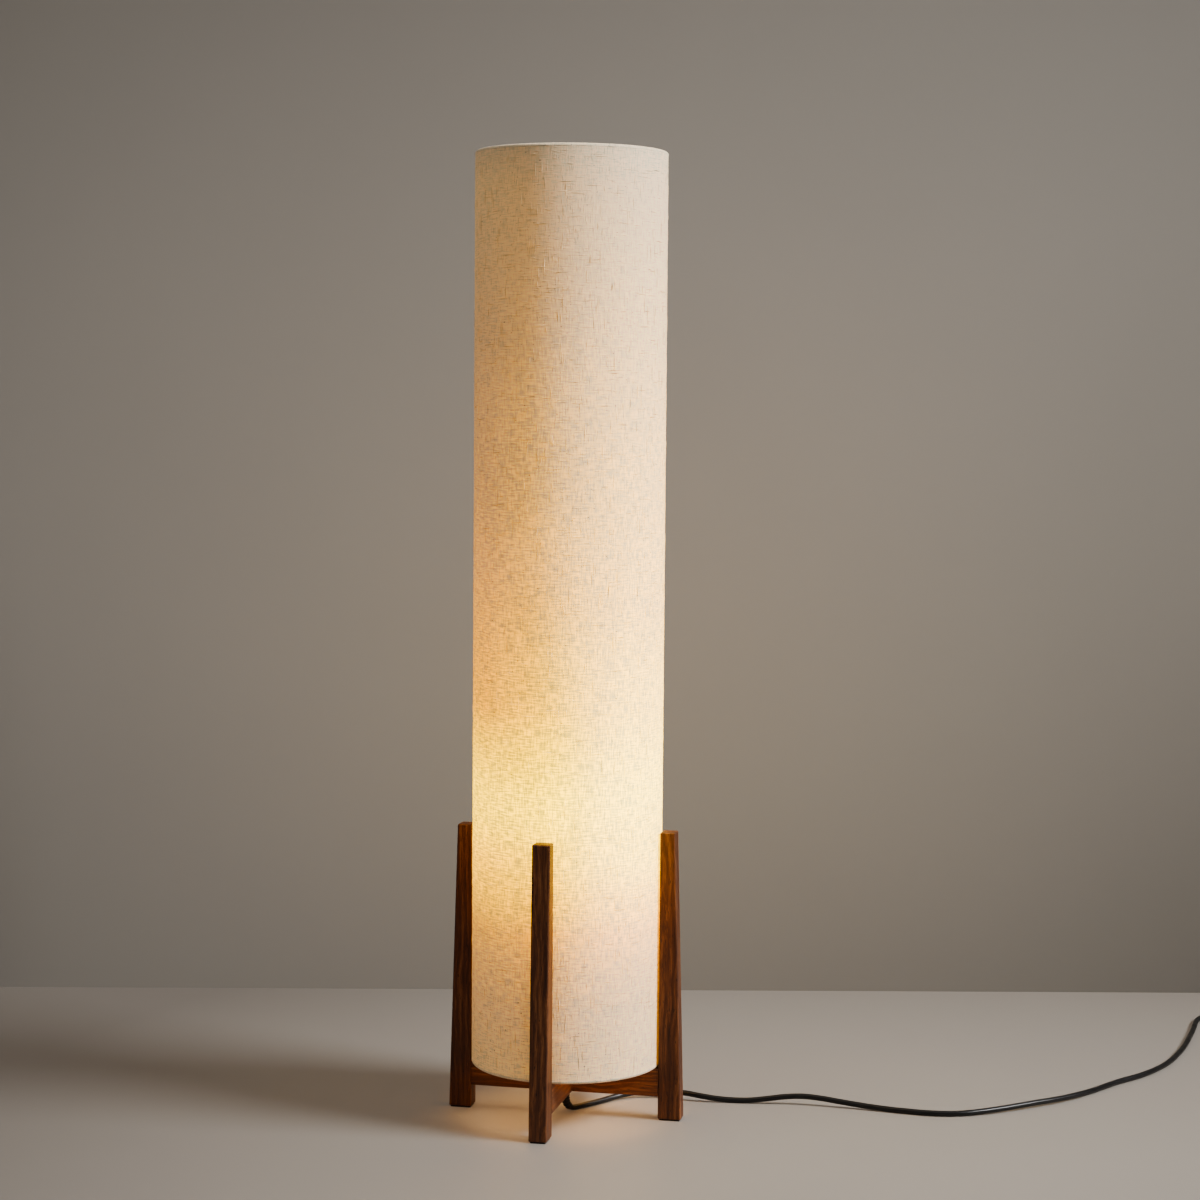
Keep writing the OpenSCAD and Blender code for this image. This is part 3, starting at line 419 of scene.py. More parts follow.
def bulb_light(tree, share, side, hot, warm):
    """Light that comes through the shade: hot next to the bulb and amber away from it, weaker on
    the dimmer side as painted shade.
    """
    hot, warm = srgb(hot)[:3], srgb(warm)[:3]
    bright_glow_ramp, dim_glow_ramp = [add(tree, "ShaderNodeValToRGB", {0: share}, [
        (spot, [power * (w + (h - w) * heat) for h, w in zip(hot, warm)])
        for spot, power, heat in glow]) for glow in (GLOW_BRIGHT_SIDE, GLOW_PAINTED_DIM_SIDE)]
    return add(tree, "ShaderNodeMix", {0: side, MIX_A: bright_glow_ramp, MIX_B: dim_glow_ramp},
               data_type="RGBA").outputs[MIX_OUT]


# Threads are 0.7 mm apart in the real cloth; 1.45 mm is the finest that the picture can show
THREAD, THICK_THREAD = 1.45, 1.4
# The cloth's patterns lie on its flat sheet, so they don't change through it
THROUGH = 1000


def linen_weave(tree, side):
    """The cloth's threads, on its flat sheet: how open the weave is, how brown its thick threads
    and flecks are, and how far it stands out."""
    cloth = add(tree, "ShaderNodeUVMap", uv_map="UVMap")
    weft = grains(tree, cloth, (12, THREAD, THROUGH), 1.5)
    warp = grains(tree, cloth, (THREAD, 12, THROUGH), 1.5, shift=(3.1, 1.7, 0))
    weft_thick = grains(tree, cloth, (9, THICK_THREAD, THROUGH), 1, shift=(7.3, 2.9, 4))
    warp_thick = grains(tree, cloth, (THICK_THREAD, 10, THROUGH), 1, shift=(1.3, 8.9, 9))
    fleck = grains(tree, cloth, (3.2, 2.2, THROUGH), 0, shift=(4.3, 6.9, 2))
    thick = add(tree, "ShaderNodeMath", {0: weft_thick, 1: warp_thick}, operation="MAXIMUM")
    thick = add(tree, "ShaderNodeMapRange", {"Value": thick, "From Min": 0.56, "From Max": 0.74},
                interpolation_type="SMOOTHSTEP")
    fleck = add(tree, "ShaderNodeMapRange", {"Value": fleck, "From Min": 0.78, "From Max": 0.84},
                interpolation_type="SMOOTHSTEP")
    # Painted light and shade: the warp shows more on the side that the room lights, and the weft
    # more against the bulb, on fixed sides of the shade
    of_weft = add(tree, "ShaderNodeMapRange", {"Value": side, "To Min": 0.42, "To Max": 0.62})
    both = add(tree, "ShaderNodeMix", {0: of_weft, 2: warp, 3: weft})
    weave = add(tree, "ShaderNodeMapRange", {"Value": both, "From Min": 0.41, "From Max": 0.59})
    thick_brown = add(tree, "ShaderNodeMath", {0: thick, 1: 0.3}, operation="MULTIPLY")
    brown = add(tree, "ShaderNodeMath", {0: fleck, 1: 0.6, 2: thick_brown},
                operation="MULTIPLY_ADD")
    relief = add(tree, "ShaderNodeMath", {0: weft, 1: warp}, operation="ADD")
    relief = add(tree, "ShaderNodeMath", {0: relief, 1: thick}, operation="ADD")
    return weave, brown, relief


def linen_face(tree, weave, brown, share, side):
    """The cloth's colour: pale flax with browner threads, and painted light on its dimmer side,
    an amber tint that takes out blue where the bulb outshines the room."""
    pale = add(tree, "ShaderNodeValToRGB", {0: weave}, [
        (0.0, srgb("#d8ccb0")), (0.5, srgb("#e3d0b1")), (1.0, srgb("#ecd5b7"))])
    tinted = add(tree, "ShaderNodeMix", {0: brown, MIX_A: pale, MIX_B: srgb("#7c7871")},
                 data_type="RGBA").outputs[MIX_OUT]
    # Painted light: the amber tint falls only on the dimmer side, in the band by the bulb
    painted_dim_side = add(tree, "ShaderNodeMapRange", {"Value": side, "From Min": 0.15, "From Max": 0.7},
              interpolation_type="SMOOTHSTEP")
    band = add(tree, "ShaderNodeValToRGB", {0: share}, [(spot, (v, v, v)) for spot, v in PAINTED_GLOW_BAND])
    hot = add(tree, "ShaderNodeMath", {0: painted_dim_side, 1: band}, operation="MULTIPLY")
    painted_amber = add(tree, "ShaderNodeMix", {0: hot, MIX_A: (1, 1, 1, 1), MIX_B: (1, 1, 0, 1)},
                data_type="RGBA").outputs[MIX_OUT]
    return add(tree, "ShaderNodeVectorMath", {0: tinted, 1: painted_amber}, operation="MULTIPLY")


def linen_glow(tree, weave, brown, share, side, passes):
    """The bulb's light through the cloth: more of it, and redder, the wider the gaps are, and
    less through the thick threads."""
    cloth = add(tree, "ShaderNodeUVMap", uv_map="UVMap")
    patches = grains(tree, cloth, (50, 80, THROUGH), 3, 0.55, shift=(5, 5, 2))
    veil = add(tree, "ShaderNodeMapRange", {
        "Value": patches, "From Min": 0.3, "From Max": 0.7,
        "To Min": 1.28 * passes, "To Max": 1.58 * passes})
    open_weave = add(tree, "ShaderNodeValToRGB", {0: weave}, [
        (0.0, (0.36, 0.39, 1.6)), (0.5, (0.69, 0.69, 0.3)), (1.0, (1.07, 1.0, 0.0))])
    # It is evener far above the bulb, where it reaches the cloth from all over the sheet
    calm = add(tree, "ShaderNodeMapRange", {
        "Value": share, "From Min": 0.68, "From Max": 0.95, "To Max": 0.55})
    open_weave = add(tree, "ShaderNodeMix", {
        0: calm, MIX_A: open_weave, MIX_B: (0.69, 0.69, 0.45, 1)}, data_type="RGBA")
    shut = add(tree, "ShaderNodeValToRGB", {0: brown}, [(0.0, (1, 1, 1)), (1.0, (0.05, 0.1, 0.3))])
    light = bulb_light(tree, share, side, "#ffd920", "#ffa728")
    glow = add(tree, "ShaderNodeVectorMath", {0: light, "Scale": veil}, operation="SCALE")
    for part in (open_weave.outputs[MIX_OUT], shut):
        glow = add(tree, "ShaderNodeVectorMath", {0: glow, 1: part}, operation="MULTIPLY")
    return glow


def linen(name, passes=1.0):
    """Linen, plain-woven from slubbed flax yarn and bonded to a sheet: pale, with thicker yarns
    that run both ways and stand out brown where the light comes through. passes is the share of
    the bulb's light that it lets out."""
    made, tree, out = new_material(name)
    share, side = shade_place(tree, add(tree, "ShaderNodeTexCoord").outputs["Object"])
    weave, brown, relief = linen_weave(tree, side)
    bump = add(tree, "ShaderNodeBump", {"Height": relief, "Distance": 0.2 * MM, "Strength": 0.8})
    add_end(tree, add(tree, "ShaderNodeBsdfPrincipled", {
        "Base Color": linen_face(tree, weave, brown, share, side), "Roughness": 0.92,
        "Sheen Weight": 0.15, "Sheen Roughness": 0.6,
        "Emission Color": linen_glow(tree, weave, brown, share, side, passes),
        "Emission Strength": GLOW_STRENGTH, "Normal": bump}), out)
    return made


def lit_sheet():
    """Frosted PVC lampshade sheet, calendered: white, satin, and bright from the bulb inside."""
    made, tree, out = new_material("pvc_sheet_calendered")
    place = add(tree, "ShaderNodeTexCoord").outputs["Object"]
    cloudy = grains(tree, place, (30, 30, 50))
    colour = add(tree, "ShaderNodeValToRGB", {0: cloudy}, [
        (0.3, srgb("#e9e3d8")), (0.7, srgb("#f6f2ea"))])
    light = bulb_light(tree, *shade_place(tree, place), "#ffd28a", "#ffb45a")
    add_end(tree, add(tree, "ShaderNodeBsdfPrincipled", {
        "Base Color": colour, "Roughness": 0.45, "Emission Color": light,
        "Emission Strength": 3.1}), out)
    return made


def opal_glass():
    """Opal polycarbonate, blow moulded: its whole wall is bright when the lamp is on."""
    made, tree, out = new_material("opal_polycarbonate")
    place = add(tree, "ShaderNodeTexCoord").outputs["Object"]
    cloudy = grains(tree, place, (20, 20, 20), 1)
    light = add(tree, "ShaderNodeValToRGB", {0: cloudy}, [
        (0.2, srgb("#ffd9a2")), (0.8, srgb("#ffe3b8"))])
    add_end(tree, add(tree, "ShaderNodeBsdfPrincipled", {
        "Base Color": srgb("#f7f2e8"), "Roughness": 0.3, "Emission Color": light,
        "Emission Strength": 24.0}), out)
    return made


# ---- Materials: wood ----

# One growth ring in about 5 mm
RING = 5 * MM


def walnut(name, turn, shift):
    """American walnut, planed and oiled: brown with darker growth rings that run along the piece,
    short dark pores, and a satin film of oil. turn brings the grain on to Z."""
    made, tree, out = new_material(name)
    place = add(tree, "ShaderNodeTexCoord").outputs["Object"]
    lie = add(tree, "ShaderNodeMapping", {"Vector": place, "Location": shift, "Rotation": turn})
    bend = grains(tree, lie, (25, 25, 110))
    push = add(tree, "ShaderNodeVectorMath", {0: (0.016, 0.011, 0), "Scale": bend},
               operation="SCALE")
    bent = add(tree, "ShaderNodeVectorMath", {0: lie, 1: push}, operation="ADD")
    # A wave's period is a turn over 20 scales
    rings = add(tree, "ShaderNodeTexWave", {
        "Vector": bent, "Scale": math.tau / 20 / RING, "Distortion": 2.2, "Detail": 2.0,
        "Detail Scale": 0.3, "Detail Roughness": 0.6},
        wave_type="RINGS", rings_direction="Z").outputs["Fac"]
    fibres = grains(tree, bent, (0.9, 0.9, 30), 3, 0.7)
    pores = grains(tree, lie, (0.7, 0.7, 8), 1, shift=(2, 3, 1))
    broad = grains(tree, bent, (7, 7, 90), shift=(4, 1, 7))
    mixed = add(tree, "ShaderNodeMath", {0: rings, 1: 0.16}, operation="MULTIPLY")
    for pattern, weight in ((fibres, 0.9), (broad, 0.6)):
        mixed = add(tree, "ShaderNodeMath", {0: pattern, 1: weight, 2: mixed},
                    operation="MULTIPLY_ADD")
    colour = add(tree, "ShaderNodeValToRGB", {0: mixed}, [
        (0.5, srgb("#31190d")), (0.75, srgb("#4f2b16")), (0.92, srgb("#663b20")),
        (1.0, srgb("#7c4f2e"))])
    open_pores = add(tree, "ShaderNodeMapRange", {
        "Value": pores, "From Min": 0.66, "From Max": 0.74})
    stained = add(tree, "ShaderNodeMix", {0: open_pores, MIX_A: colour, MIX_B: srgb("#1c0e07")},
                  data_type="RGBA").outputs[MIX_OUT]
    gloss = add(tree, "ShaderNodeMapRange", {
        "Value": fibres, "From Min": 0.3, "From Max": 0.7, "To Min": 0.44, "To Max": 0.6})
    height = add(tree, "ShaderNodeMath", {0: fibres, 1: open_pores}, operation="SUBTRACT")
    bump = add(tree, "ShaderNodeBump", {"Height": height, "Distance": 0.08 * MM, "Strength": 0.7})
    add_end(tree, add(tree, "ShaderNodeBsdfPrincipled", {
        "Base Color": stained, "Roughness": gloss, "IOR": 1.45, "Coat Weight": 0.05,
        "Coat Roughness": 0.4, "Normal": bump}), out)
    return made


ON_X = (0, math.pi / 2, 0)
ON_Y = (math.pi / 2, 0, 0)
UPRIGHT = (0, 0, 0)
# Each piece's grain direction, and the part of the tree that it was sawn from
WOOD = {
    "leg_front": (UPRIGHT, (0.055, 0.16, 0)), "leg_right": (UPRIGHT, (-0.07, 0.045, 0.31)),
    "leg_back": (UPRIGHT, (0.06, -0.05, 0.57)), "leg_left": (UPRIGHT, (0.18, -0.04, 0.83)),
    "rail_x": (ON_X, (0.05, 0.048, 1.1)), "rail_y": (ON_Y, (0.052, -0.05, 1.4))}

for name, (turn, shift) in WOOD.items():
    dressed(nodes[name], walnut("walnut_oiled_" + name, turn, shift))

# ---- Materials: everything else that the solids show ----

def finish(material, *names):
    """Gives solids of the frame their material."""
    for name in names:
        dressed(nodes[name], material)
    return material


# Felt, pressed from wool: dull and dark, with a soft uneven pile
finish(surface("felt_pressed", "#231c19", 0.95, grain=0.6, relief=0.3, tone=0.3,
               **{"Sheen Weight": 0.4}), "foot_pads")
# Steel, zinc plated: grey with a slight bloom
finish(surface("steel_zinc_plated", "#a9aaa6", 0.34, 1.0, grain=0.8, relief=0.01),
       "nut_washer", "rod_nut", "lock_screw", "switch_screws", "rocker_pin", "ring_bottom",
       "ring_top")
# Steel, stove enamelled black: satin with a faint orange peel
finish(surface("enamel_satin_black", "#151516", 0.38, grain=1.6, relief=0.02),
       "rail_plate", "stem_tube")
# Thermoset, compression moulded white: hard gloss with faint flow marks
finish(surface("thermoset_white", "#dcd7cc", 0.28, grain=3, relief=0.01, tone=0.04),
       "holder_cap", "holder_shell")
# Porcelain, glazed: glassy over a slightly rippled body
finish(surface("porcelain_glazed", "#ece8df", 0.12, grain=4, relief=0.03, tone=0.03,
               **{"Coat Weight": 0.5}), "contact_block")
# Brass, rolled and stamped: warm metal, rubbed brighter in places
BRASS = finish(surface("brass_rolled", "#c9a25a", 0.3, 1.0, grain=0.7, relief=0.01, tone=0.15),
               "centre_contact", "terminal_screws", "switch_contacts")
# Nickel-plated brass of a plug's pins: bright, with long drawing marks
finish(surface("brass_nickel_plated", "#cfcac0", 0.22, 1.0, stretch=(1, 15, 1), relief=0.005),
       "plug_pins")
# Insulation, extruded: even soft plastic
finish(surface("insulation_brown", "#4a2a18", 0.45, grain=1, relief=0.01), "live_core")
finish(surface("insulation_blue", "#23467c", 0.45, grain=1, relief=0.01), "neutral_core")
# Glass insulator, fused and black: glossy and pitted
finish(surface("glass_black_fused", "#0d0d10", 0.12, grain=1.5, relief=0.04), "bulb_insulator")
# Polycarbonate, injection moulded white: satin gloss
finish(surface("polycarbonate_white", "#e8e4da", 0.32, grain=1, relief=0.01, tone=0.03),
       "bulb_collar")
# Solder resist on an aluminium board: even white, slightly glossy
finish(surface("solder_resist_white", "#e6e6e0", 0.35, grain=0.5, relief=0.01), "led_board")
# ABS, injection moulded in a spark-eroded tool: black with a fine even grain
finish(surface("abs_spark_grained", "#131314", 0.46, grain=0.5, relief=0.05, tone=0.2),
       "switch_base", "switch_cover", "rocker")
# PVC, moulded over the pins: softer black than the switch
finish(surface("pvc_moulded", "#151415", 0.42, grain=0.8, relief=0.04, tone=0.2),
       "plug_body", "pin_sleeves", "inner_flex", "plug_relief")
# Hook-and-loop tape, woven nylon: matt with a fine ribbed pile
finish(surface("nylon_tape_woven", "#1b1a1b", 0.85, grain=0.5, stretch=(2.4, 1, 1), relief=0.2,
               tone=0.35, **{"Sheen Weight": 0.3}), "coil_tie")
finish(lit_sheet(), "shade_liner")
finish(opal_glass(), "bulb_globe")
# Steel, threaded by rolling and zinc plated: fine even ridges along the rod
finish(surface("steel_thread_rolled", "#a4a5a2", 0.36, 1.0, grain=0.5, stretch=(8, 8, 1),
               relief=0.25), "threaded_rod")
# Phosphor, cast over each chip: matt yellow
finish(surface("phosphor_cast", "#e8c53c", 0.6, grain=0.5, relief=0.02), "led_chips")
# Steel, tinned and pressed: the bulb's round contact, with a soft shine
finish(surface("steel_tinned", "#b9b6ae", 0.4, 1.0, grain=0.6, relief=0.03), "bulb_tip")

LINEN = linen("linen_slubbed")
RIM_LINEN = linen("linen_turned_over", passes=0.15)

# ---- The shade's cloth: one sheet round the liner, its end lapped over its start ----

LAP_START = math.radians(115) - 5 * MM / SHADE_R
LAP_W = 10 * MM
# How far the cloth takes to step up on to the lap
LAP_RISE = 4 * MM
FLAT_W = math.tau * SHADE_R + LAP_W
SKIN_BOTTOM = SHADE_BOTTOM + 2.6 * MM
SKIN_TOP = SHADE_TOP - 2.6 * MM


def linen_wrap():
    """The cloth's outer and inner face with closed edges; its last 10 mm step up over the start."""
    across = 260
    # The rows next to the cut edges are narrow, so that the edges don't bend the light on the face
    inset, rows = 0.8 * MM, 38
    heights = [SKIN_BOTTOM] + [SKIN_BOTTOM + inset + (SKIN_TOP - SKIN_BOTTOM - 2 * inset) * j / rows
                               for j in range(rows + 1)] + [SKIN_TOP]
    up = len(heights)
    points, uvs = [], []
    for depth in (0.0, LINEN_T - 0.05 * MM):
        for z in heights:
            for i in range(across):
                run = FLAT_W * i / (across - 1)
                angle = LAP_START + run / SHADE_R
                over = min(max((run - (FLAT_W - LAP_W - LAP_RISE)) / LAP_RISE, 0), 1)
                step = (LINEN_T + 0.02 * MM) * over * over * (3 - 2 * over)
                r = SHADE_R - depth + step
                points.append((r * math.cos(angle), r * math.sin(angle), z))
                uvs.append((run, z))
    half = across * up
    outer = grid_faces(across, up)
    faces = outer + [tuple(half + k for k in reversed(face)) for face in outer]
    rim = (list(range(across)) + [j * across + across - 1 for j in range(1, up)]
           + [half - across + j for j in range(across - 2, -1, -1)]
           + [j * across for j in range(up - 2, 0, -1)])
    for a, b in zip(rim, rim[1:] + rim[:1]):
        faces.append((b, a, a + half, b + half))
    made = piece("linen_wrap", points, faces, "shade", LINEN, uvs=uvs)
    for face in list(made.data.polygons)[2 * len(outer):]:
        face.use_smooth = False
    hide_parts("shade_fabric", "shade_lap")
    return made


# The roll of cloth over the rim's wire, in millimetres: its middle and its own radius
ROLL_MID, ROLL_R = 97.1, 3.05


def turned_rim(name, end, upward, node):
    """Linen turned in over the wire: a roll that goes on from the face of the cloth."""
    around, arc = 240, 28
    profile = [(99.3, 3.8), (99.9, 3.6)]
    for k in range(arc + 1):
        a = math.pi * k / arc
        profile.append((ROLL_MID + ROLL_R * math.cos(a), ROLL_R - ROLL_R * math.sin(a)))
    profile += [(94.02, 3.9), (94.3, 4.3), (94.8, 4.35), (95.6, 4.1), (98.8, 4.1)]
    profile = [(r * MM, z * MM) for r, z in profile]
    rng = random.Random(name)
    waves = [(rng.randint(5, 60), rng.uniform(0, math.tau), rng.uniform(0.01, 0.035))
             for _ in range(9)]
    points, uvs = [], []
    for i in range(around):
        a = math.tau * i / around
        sway = sum(h * math.sin(n * a + p) for n, p, h in waves) * MM
        run = 0.0
        for k, (r, z) in enumerate(profile):
            if k:
                run += math.dist(profile[k], profile[k - 1])
            turn = a if upward else -a
            points.append(((r + sway) * math.cos(turn), (r + sway) * math.sin(turn),
                           end + (z + 0.4 * sway) * (1 if upward else -1)))
            uvs.append((a * SHADE_R, run + end))
    faces = grid_faces(len(profile), around, closed=True)
    made = piece(name, points, faces, "shade", RIM_LINEN, uvs=uvs)
    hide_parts(node)
    return made


linen_wrap()
turned_rim("linen_rim_bottom", SHADE_BOTTOM, True, "binding_bottom")
turned_rim("linen_rim_top", SHADE_TOP, False, "binding_top")


# ---- Slubs: the thicker yarns of the linen, that stand a little out of the weave ----

def flax_slub():
    """Slubbed flax yarn, spun: a rounder, browner thread that lets less of the light through."""
    made, tree, out = new_material("flax_yarn_slubbed")
    place = add(tree, "ShaderNodeTexCoord").outputs["Object"]
    each = grains(tree, place, (17, 17, 17), 1)
    fibre = grains(tree, place, (1.2, 1.2, 1.2))
    tone = add(tree, "ShaderNodeMapRange", {"Value": each, "From Min": 0.35, "From Max": 0.65})
    passes = add(tree, "ShaderNodeMapRange", {"Value": tone, "To Min": 0.42, "To Max": 1.05})
    light = bulb_light(tree, *shade_place(tree, place), "#ffd900", "#ffa728")
    glow = add(tree, "ShaderNodeVectorMath", {0: light, "Scale": passes}, operation="SCALE")
    colour = add(tree, "ShaderNodeValToRGB", {0: tone}, [
        (0.0, srgb("#ab9c83")), (0.55, srgb("#cdbb9c")), (1.0, srgb("#e8d8bb"))])
    bump = add(tree, "ShaderNodeBump", {"Height": fibre, "Distance": 0.1 * MM, "Strength": 0.8})
    add_end(tree, add(tree, "ShaderNodeBsdfPrincipled", {
        "Base Color": colour, "Roughness": 0.9, "Emission Color": glow,
        "Emission Strength": GLOW_STRENGTH, "Normal": bump}), out)
    return made


def linen_slubs():
    """Yarns strewn both ways over the flat cloth, then wrapped round the shade with it."""
    sizes = {"Width": math.tau * SHADE_R, "Height": SKIN_TOP - SKIN_BOTTOM - 16 * MM,
             "Per Area": 5000.0, "Yarn Length": 14 * MM, "Yarn Radius": 0.42 * MM,
             "Shade Radius": SHADE_R, "Middle": (SKIN_TOP + SKIN_BOTTOM) / 2,
             "Start": LAP_START, "Seed": 12}
    tree, size = sized_tree("linen_slubs", sizes)
    cloth = add(tree, "GeometryNodeMeshGrid", {
        "Size X": size["Width"], "Size Y": size["Height"], "Vertices X": 2, "Vertices Y": 2})
    spots = add(tree, "GeometryNodeDistributePointsOnFaces", {
        "Mesh": cloth, "Density": size["Per Area"], "Seed": size["Seed"]}).outputs["Points"]
    # The yarn: a closed thread that swells in its middle
    half = add(tree, "ShaderNodeMath", {0: size["Yarn Length"], 1: 0.5}, operation="MULTIPLY")
    back = add(tree, "ShaderNodeMath", {0: half, 1: -1.0}, operation="MULTIPLY")
    line = add(tree, "GeometryNodeCurvePrimitiveLine", {
        "Start": add(tree, "ShaderNodeCombineXYZ", {0: back}),
        "End": add(tree, "ShaderNodeCombineXYZ", {0: half})})
    line = add(tree, "GeometryNodeResampleCurve", {"Curve": line, "Count": 7})
    along = add(tree, "GeometryNodeSplineParameter").outputs["Factor"]
    angle = add(tree, "ShaderNodeMath", {0: along, 1: math.pi * 0.92, 2: math.pi * 0.04},
                operation="MULTIPLY_ADD")
    swell = add(tree, "ShaderNodeMath", {0: angle}, operation="SINE")
    ring = add(tree, "GeometryNodeCurvePrimitiveCircle", {
        "Resolution": 4, "Radius": size["Yarn Radius"]})
    yarn = add(tree, "GeometryNodeCurveToMesh", {
        "Curve": line, "Profile Curve": ring, "Scale": swell, "Fill Caps": True})
    # Half of the yarns turn a quarter, and none lies quite straight
    across = add(tree, "FunctionNodeRandomValue", {4: 0, 5: 1, "Seed": 3},
                 data_type="INT").outputs[2]
    stray = add(tree, "FunctionNodeRandomValue", {2: -0.05, 3: 0.05, "Seed": 5}).outputs[1]
    turn = add(tree, "ShaderNodeMath", {0: across, 1: math.pi / 2, 2: stray},
               operation="MULTIPLY_ADD")
    turn = add(tree, "FunctionNodeEulerToRotation", {
        0: add(tree, "ShaderNodeCombineXYZ", {2: turn})})
    grow = add(tree, "FunctionNodeRandomValue", {
        0: (0.35, 0.6, 0.5), 1: (1.5, 1.2, 0.8), "Seed": 7}, data_type="FLOAT_VECTOR")
    yarns = add(tree, "GeometryNodeInstanceOnPoints", {
        "Points": spots, "Instance": yarn, "Rotation": turn, "Scale": grow})
    yarns = add(tree, "GeometryNodeRealizeInstances", {0: yarns})
    x, y, z = position_of(tree)
    angle = add(tree, "ShaderNodeMath", {0: x, 1: size["Shade Radius"]}, operation="DIVIDE")
    angle = add(tree, "ShaderNodeMath", {0: angle, 1: size["Start"]}, operation="ADD")
    radius = add(tree, "ShaderNodeMath", {0: z, 1: size["Shade Radius"]}, operation="ADD")
    height = add(tree, "ShaderNodeMath", {0: y, 1: size["Middle"]}, operation="ADD")
    made = grown("linen_slubs", tree, wrapped(tree, yarns, angle, radius, height), sizes,
                 flax_slub())
    return placed(made, "shade")


linen_slubs()

# ---- Screw threads of the bulb's cap and of the shell that it turns in ----

def threaded_sleeve(name, node, body, material, middle, depth, draw_in, rows):
    """A rolled thread, as high as its node: a thin sleeve whose wall goes in and out along a
    right-hand helix."""
    low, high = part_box(node)
    sizes = {"Middle Radius": middle, "Depth": depth, "Pitch": THREAD_PITCH, "Low": low.z,
             "High": high.z, "Wall": 0.3 * MM, "Draw In": draw_in, "Around": 73, "Up": rows}
    tree, size = sized_tree(name, sizes)
    sheet = add(tree, "GeometryNodeMeshGrid", {
        "Size X": 1.0, "Size Y": 1.0, "Vertices X": size["Around"], "Vertices Y": size["Up"]})
    x, y, z = position_of(tree)
    turn = add(tree, "ShaderNodeMath", {0: x, 1: 0.5}, operation="ADD")
    angle = add(tree, "ShaderNodeMath", {0: turn, 1: math.tau}, operation="MULTIPLY")
    share = add(tree, "ShaderNodeMath", {0: y, 1: 0.5}, operation="ADD")
    height = add(tree, "ShaderNodeMapRange", {
        "Value": share, "To Min": size["Low"], "To Max": size["High"]})
    phase = add(tree, "ShaderNodeMath", {0: height, 1: size["Pitch"]}, operation="DIVIDE")
    phase = add(tree, "ShaderNodeMath", {0: phase, 1: math.tau}, operation="MULTIPLY")
    phase = add(tree, "ShaderNodeMath", {0: phase, 1: angle}, operation="SUBTRACT")
    # The thread fades at both ends, and the low end draws in
    low_end, top_end = [add(tree, "ShaderNodeMapRange", {
        "Value": share, "From Min": start, "From Max": full}, interpolation_type="SMOOTHSTEP")
        for start, full in ((0.02, 0.14), (0.98, 0.86))]
    both_ends = add(tree, "ShaderNodeMath", {0: low_end, 1: top_end}, operation="MULTIPLY")
    wave = add(tree, "ShaderNodeMath", {0: phase}, operation="COSINE")
    wave = add(tree, "ShaderNodeMath", {0: both_ends, 1: wave}, operation="MULTIPLY")
    radius = add(tree, "ShaderNodeMath", {0: wave, 1: size["Depth"], 2: size["Middle Radius"]},
                 operation="MULTIPLY_ADD")
    drawn = add(tree, "ShaderNodeMath", {0: 1.0, 1: low_end}, operation="SUBTRACT")
    drawn = add(tree, "ShaderNodeMath", {0: drawn, 1: size["Draw In"]}, operation="MULTIPLY")
    radius = add(tree, "ShaderNodeMath", {0: radius, 1: drawn}, operation="SUBTRACT")
    outer = wrapped(tree, sheet, angle, radius, height)
    outer = add(tree, "GeometryNodeMergeByDistance", {0: outer, "Distance": 1e-6})
    inward = add(tree, "ShaderNodeMath", {0: size["Wall"], 1: -1.0}, operation="MULTIPLY")
    inner = add(tree, "GeometryNodeExtrudeMesh", {
        "Mesh": outer, "Offset Scale": inward, "Individual": False})
    inner = add(tree, "GeometryNodeFlipFaces", {0: inner})
    both = add(tree, "GeometryNodeJoinGeometry", {0: outer})
    tree.links.new(inner.outputs[0], both.inputs[0])
    whole = add(tree, "GeometryNodeMergeByDistance", {0: both, "Distance": 1e-6})
    made = placed(grown(name, tree, whole, sizes, material), body)
    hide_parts(node)
    return made


# Aluminium, rolled into a thread: dull silver, brighter on the crests
CAP_METAL = surface("aluminium_rolled", "#b8b7b2", 0.36, 1.0, grain=0.9, relief=0.015, tone=0.1)
threaded_sleeve("bulb_cap_threaded", "bulb_cap", "bulb", CAP_METAL,
                middle=12.65 * MM, depth=0.45 * MM, draw_in=1.3 * MM, rows=61)
threaded_sleeve("screw_shell_threaded", "screw_shell", "base", BRASS,
                middle=13.4 * MM, depth=0.3 * MM, draw_in=0.0, rows=77)

# ---- The rocker's marks, moulded proud and filled white ----

# Paint, wiped into the moulded marks: an even chalky white
MARK_WHITE = surface("filled_white", "#e4e1da", 0.5, grain=0.4, relief=0.01, tone=0.04)
ROCKER_PIN = Vector(joints["switch_rock"]["pos_m"])
# How far the wings' tops are over the pin, how they slope, and where a mark is on one
ROCKER_CROWN, WING_SLOPE, MARK_REACH = 5.9, math.radians(7), 5.6
MARK_PROUD, MARK_SUNK = 0.18, -0.15


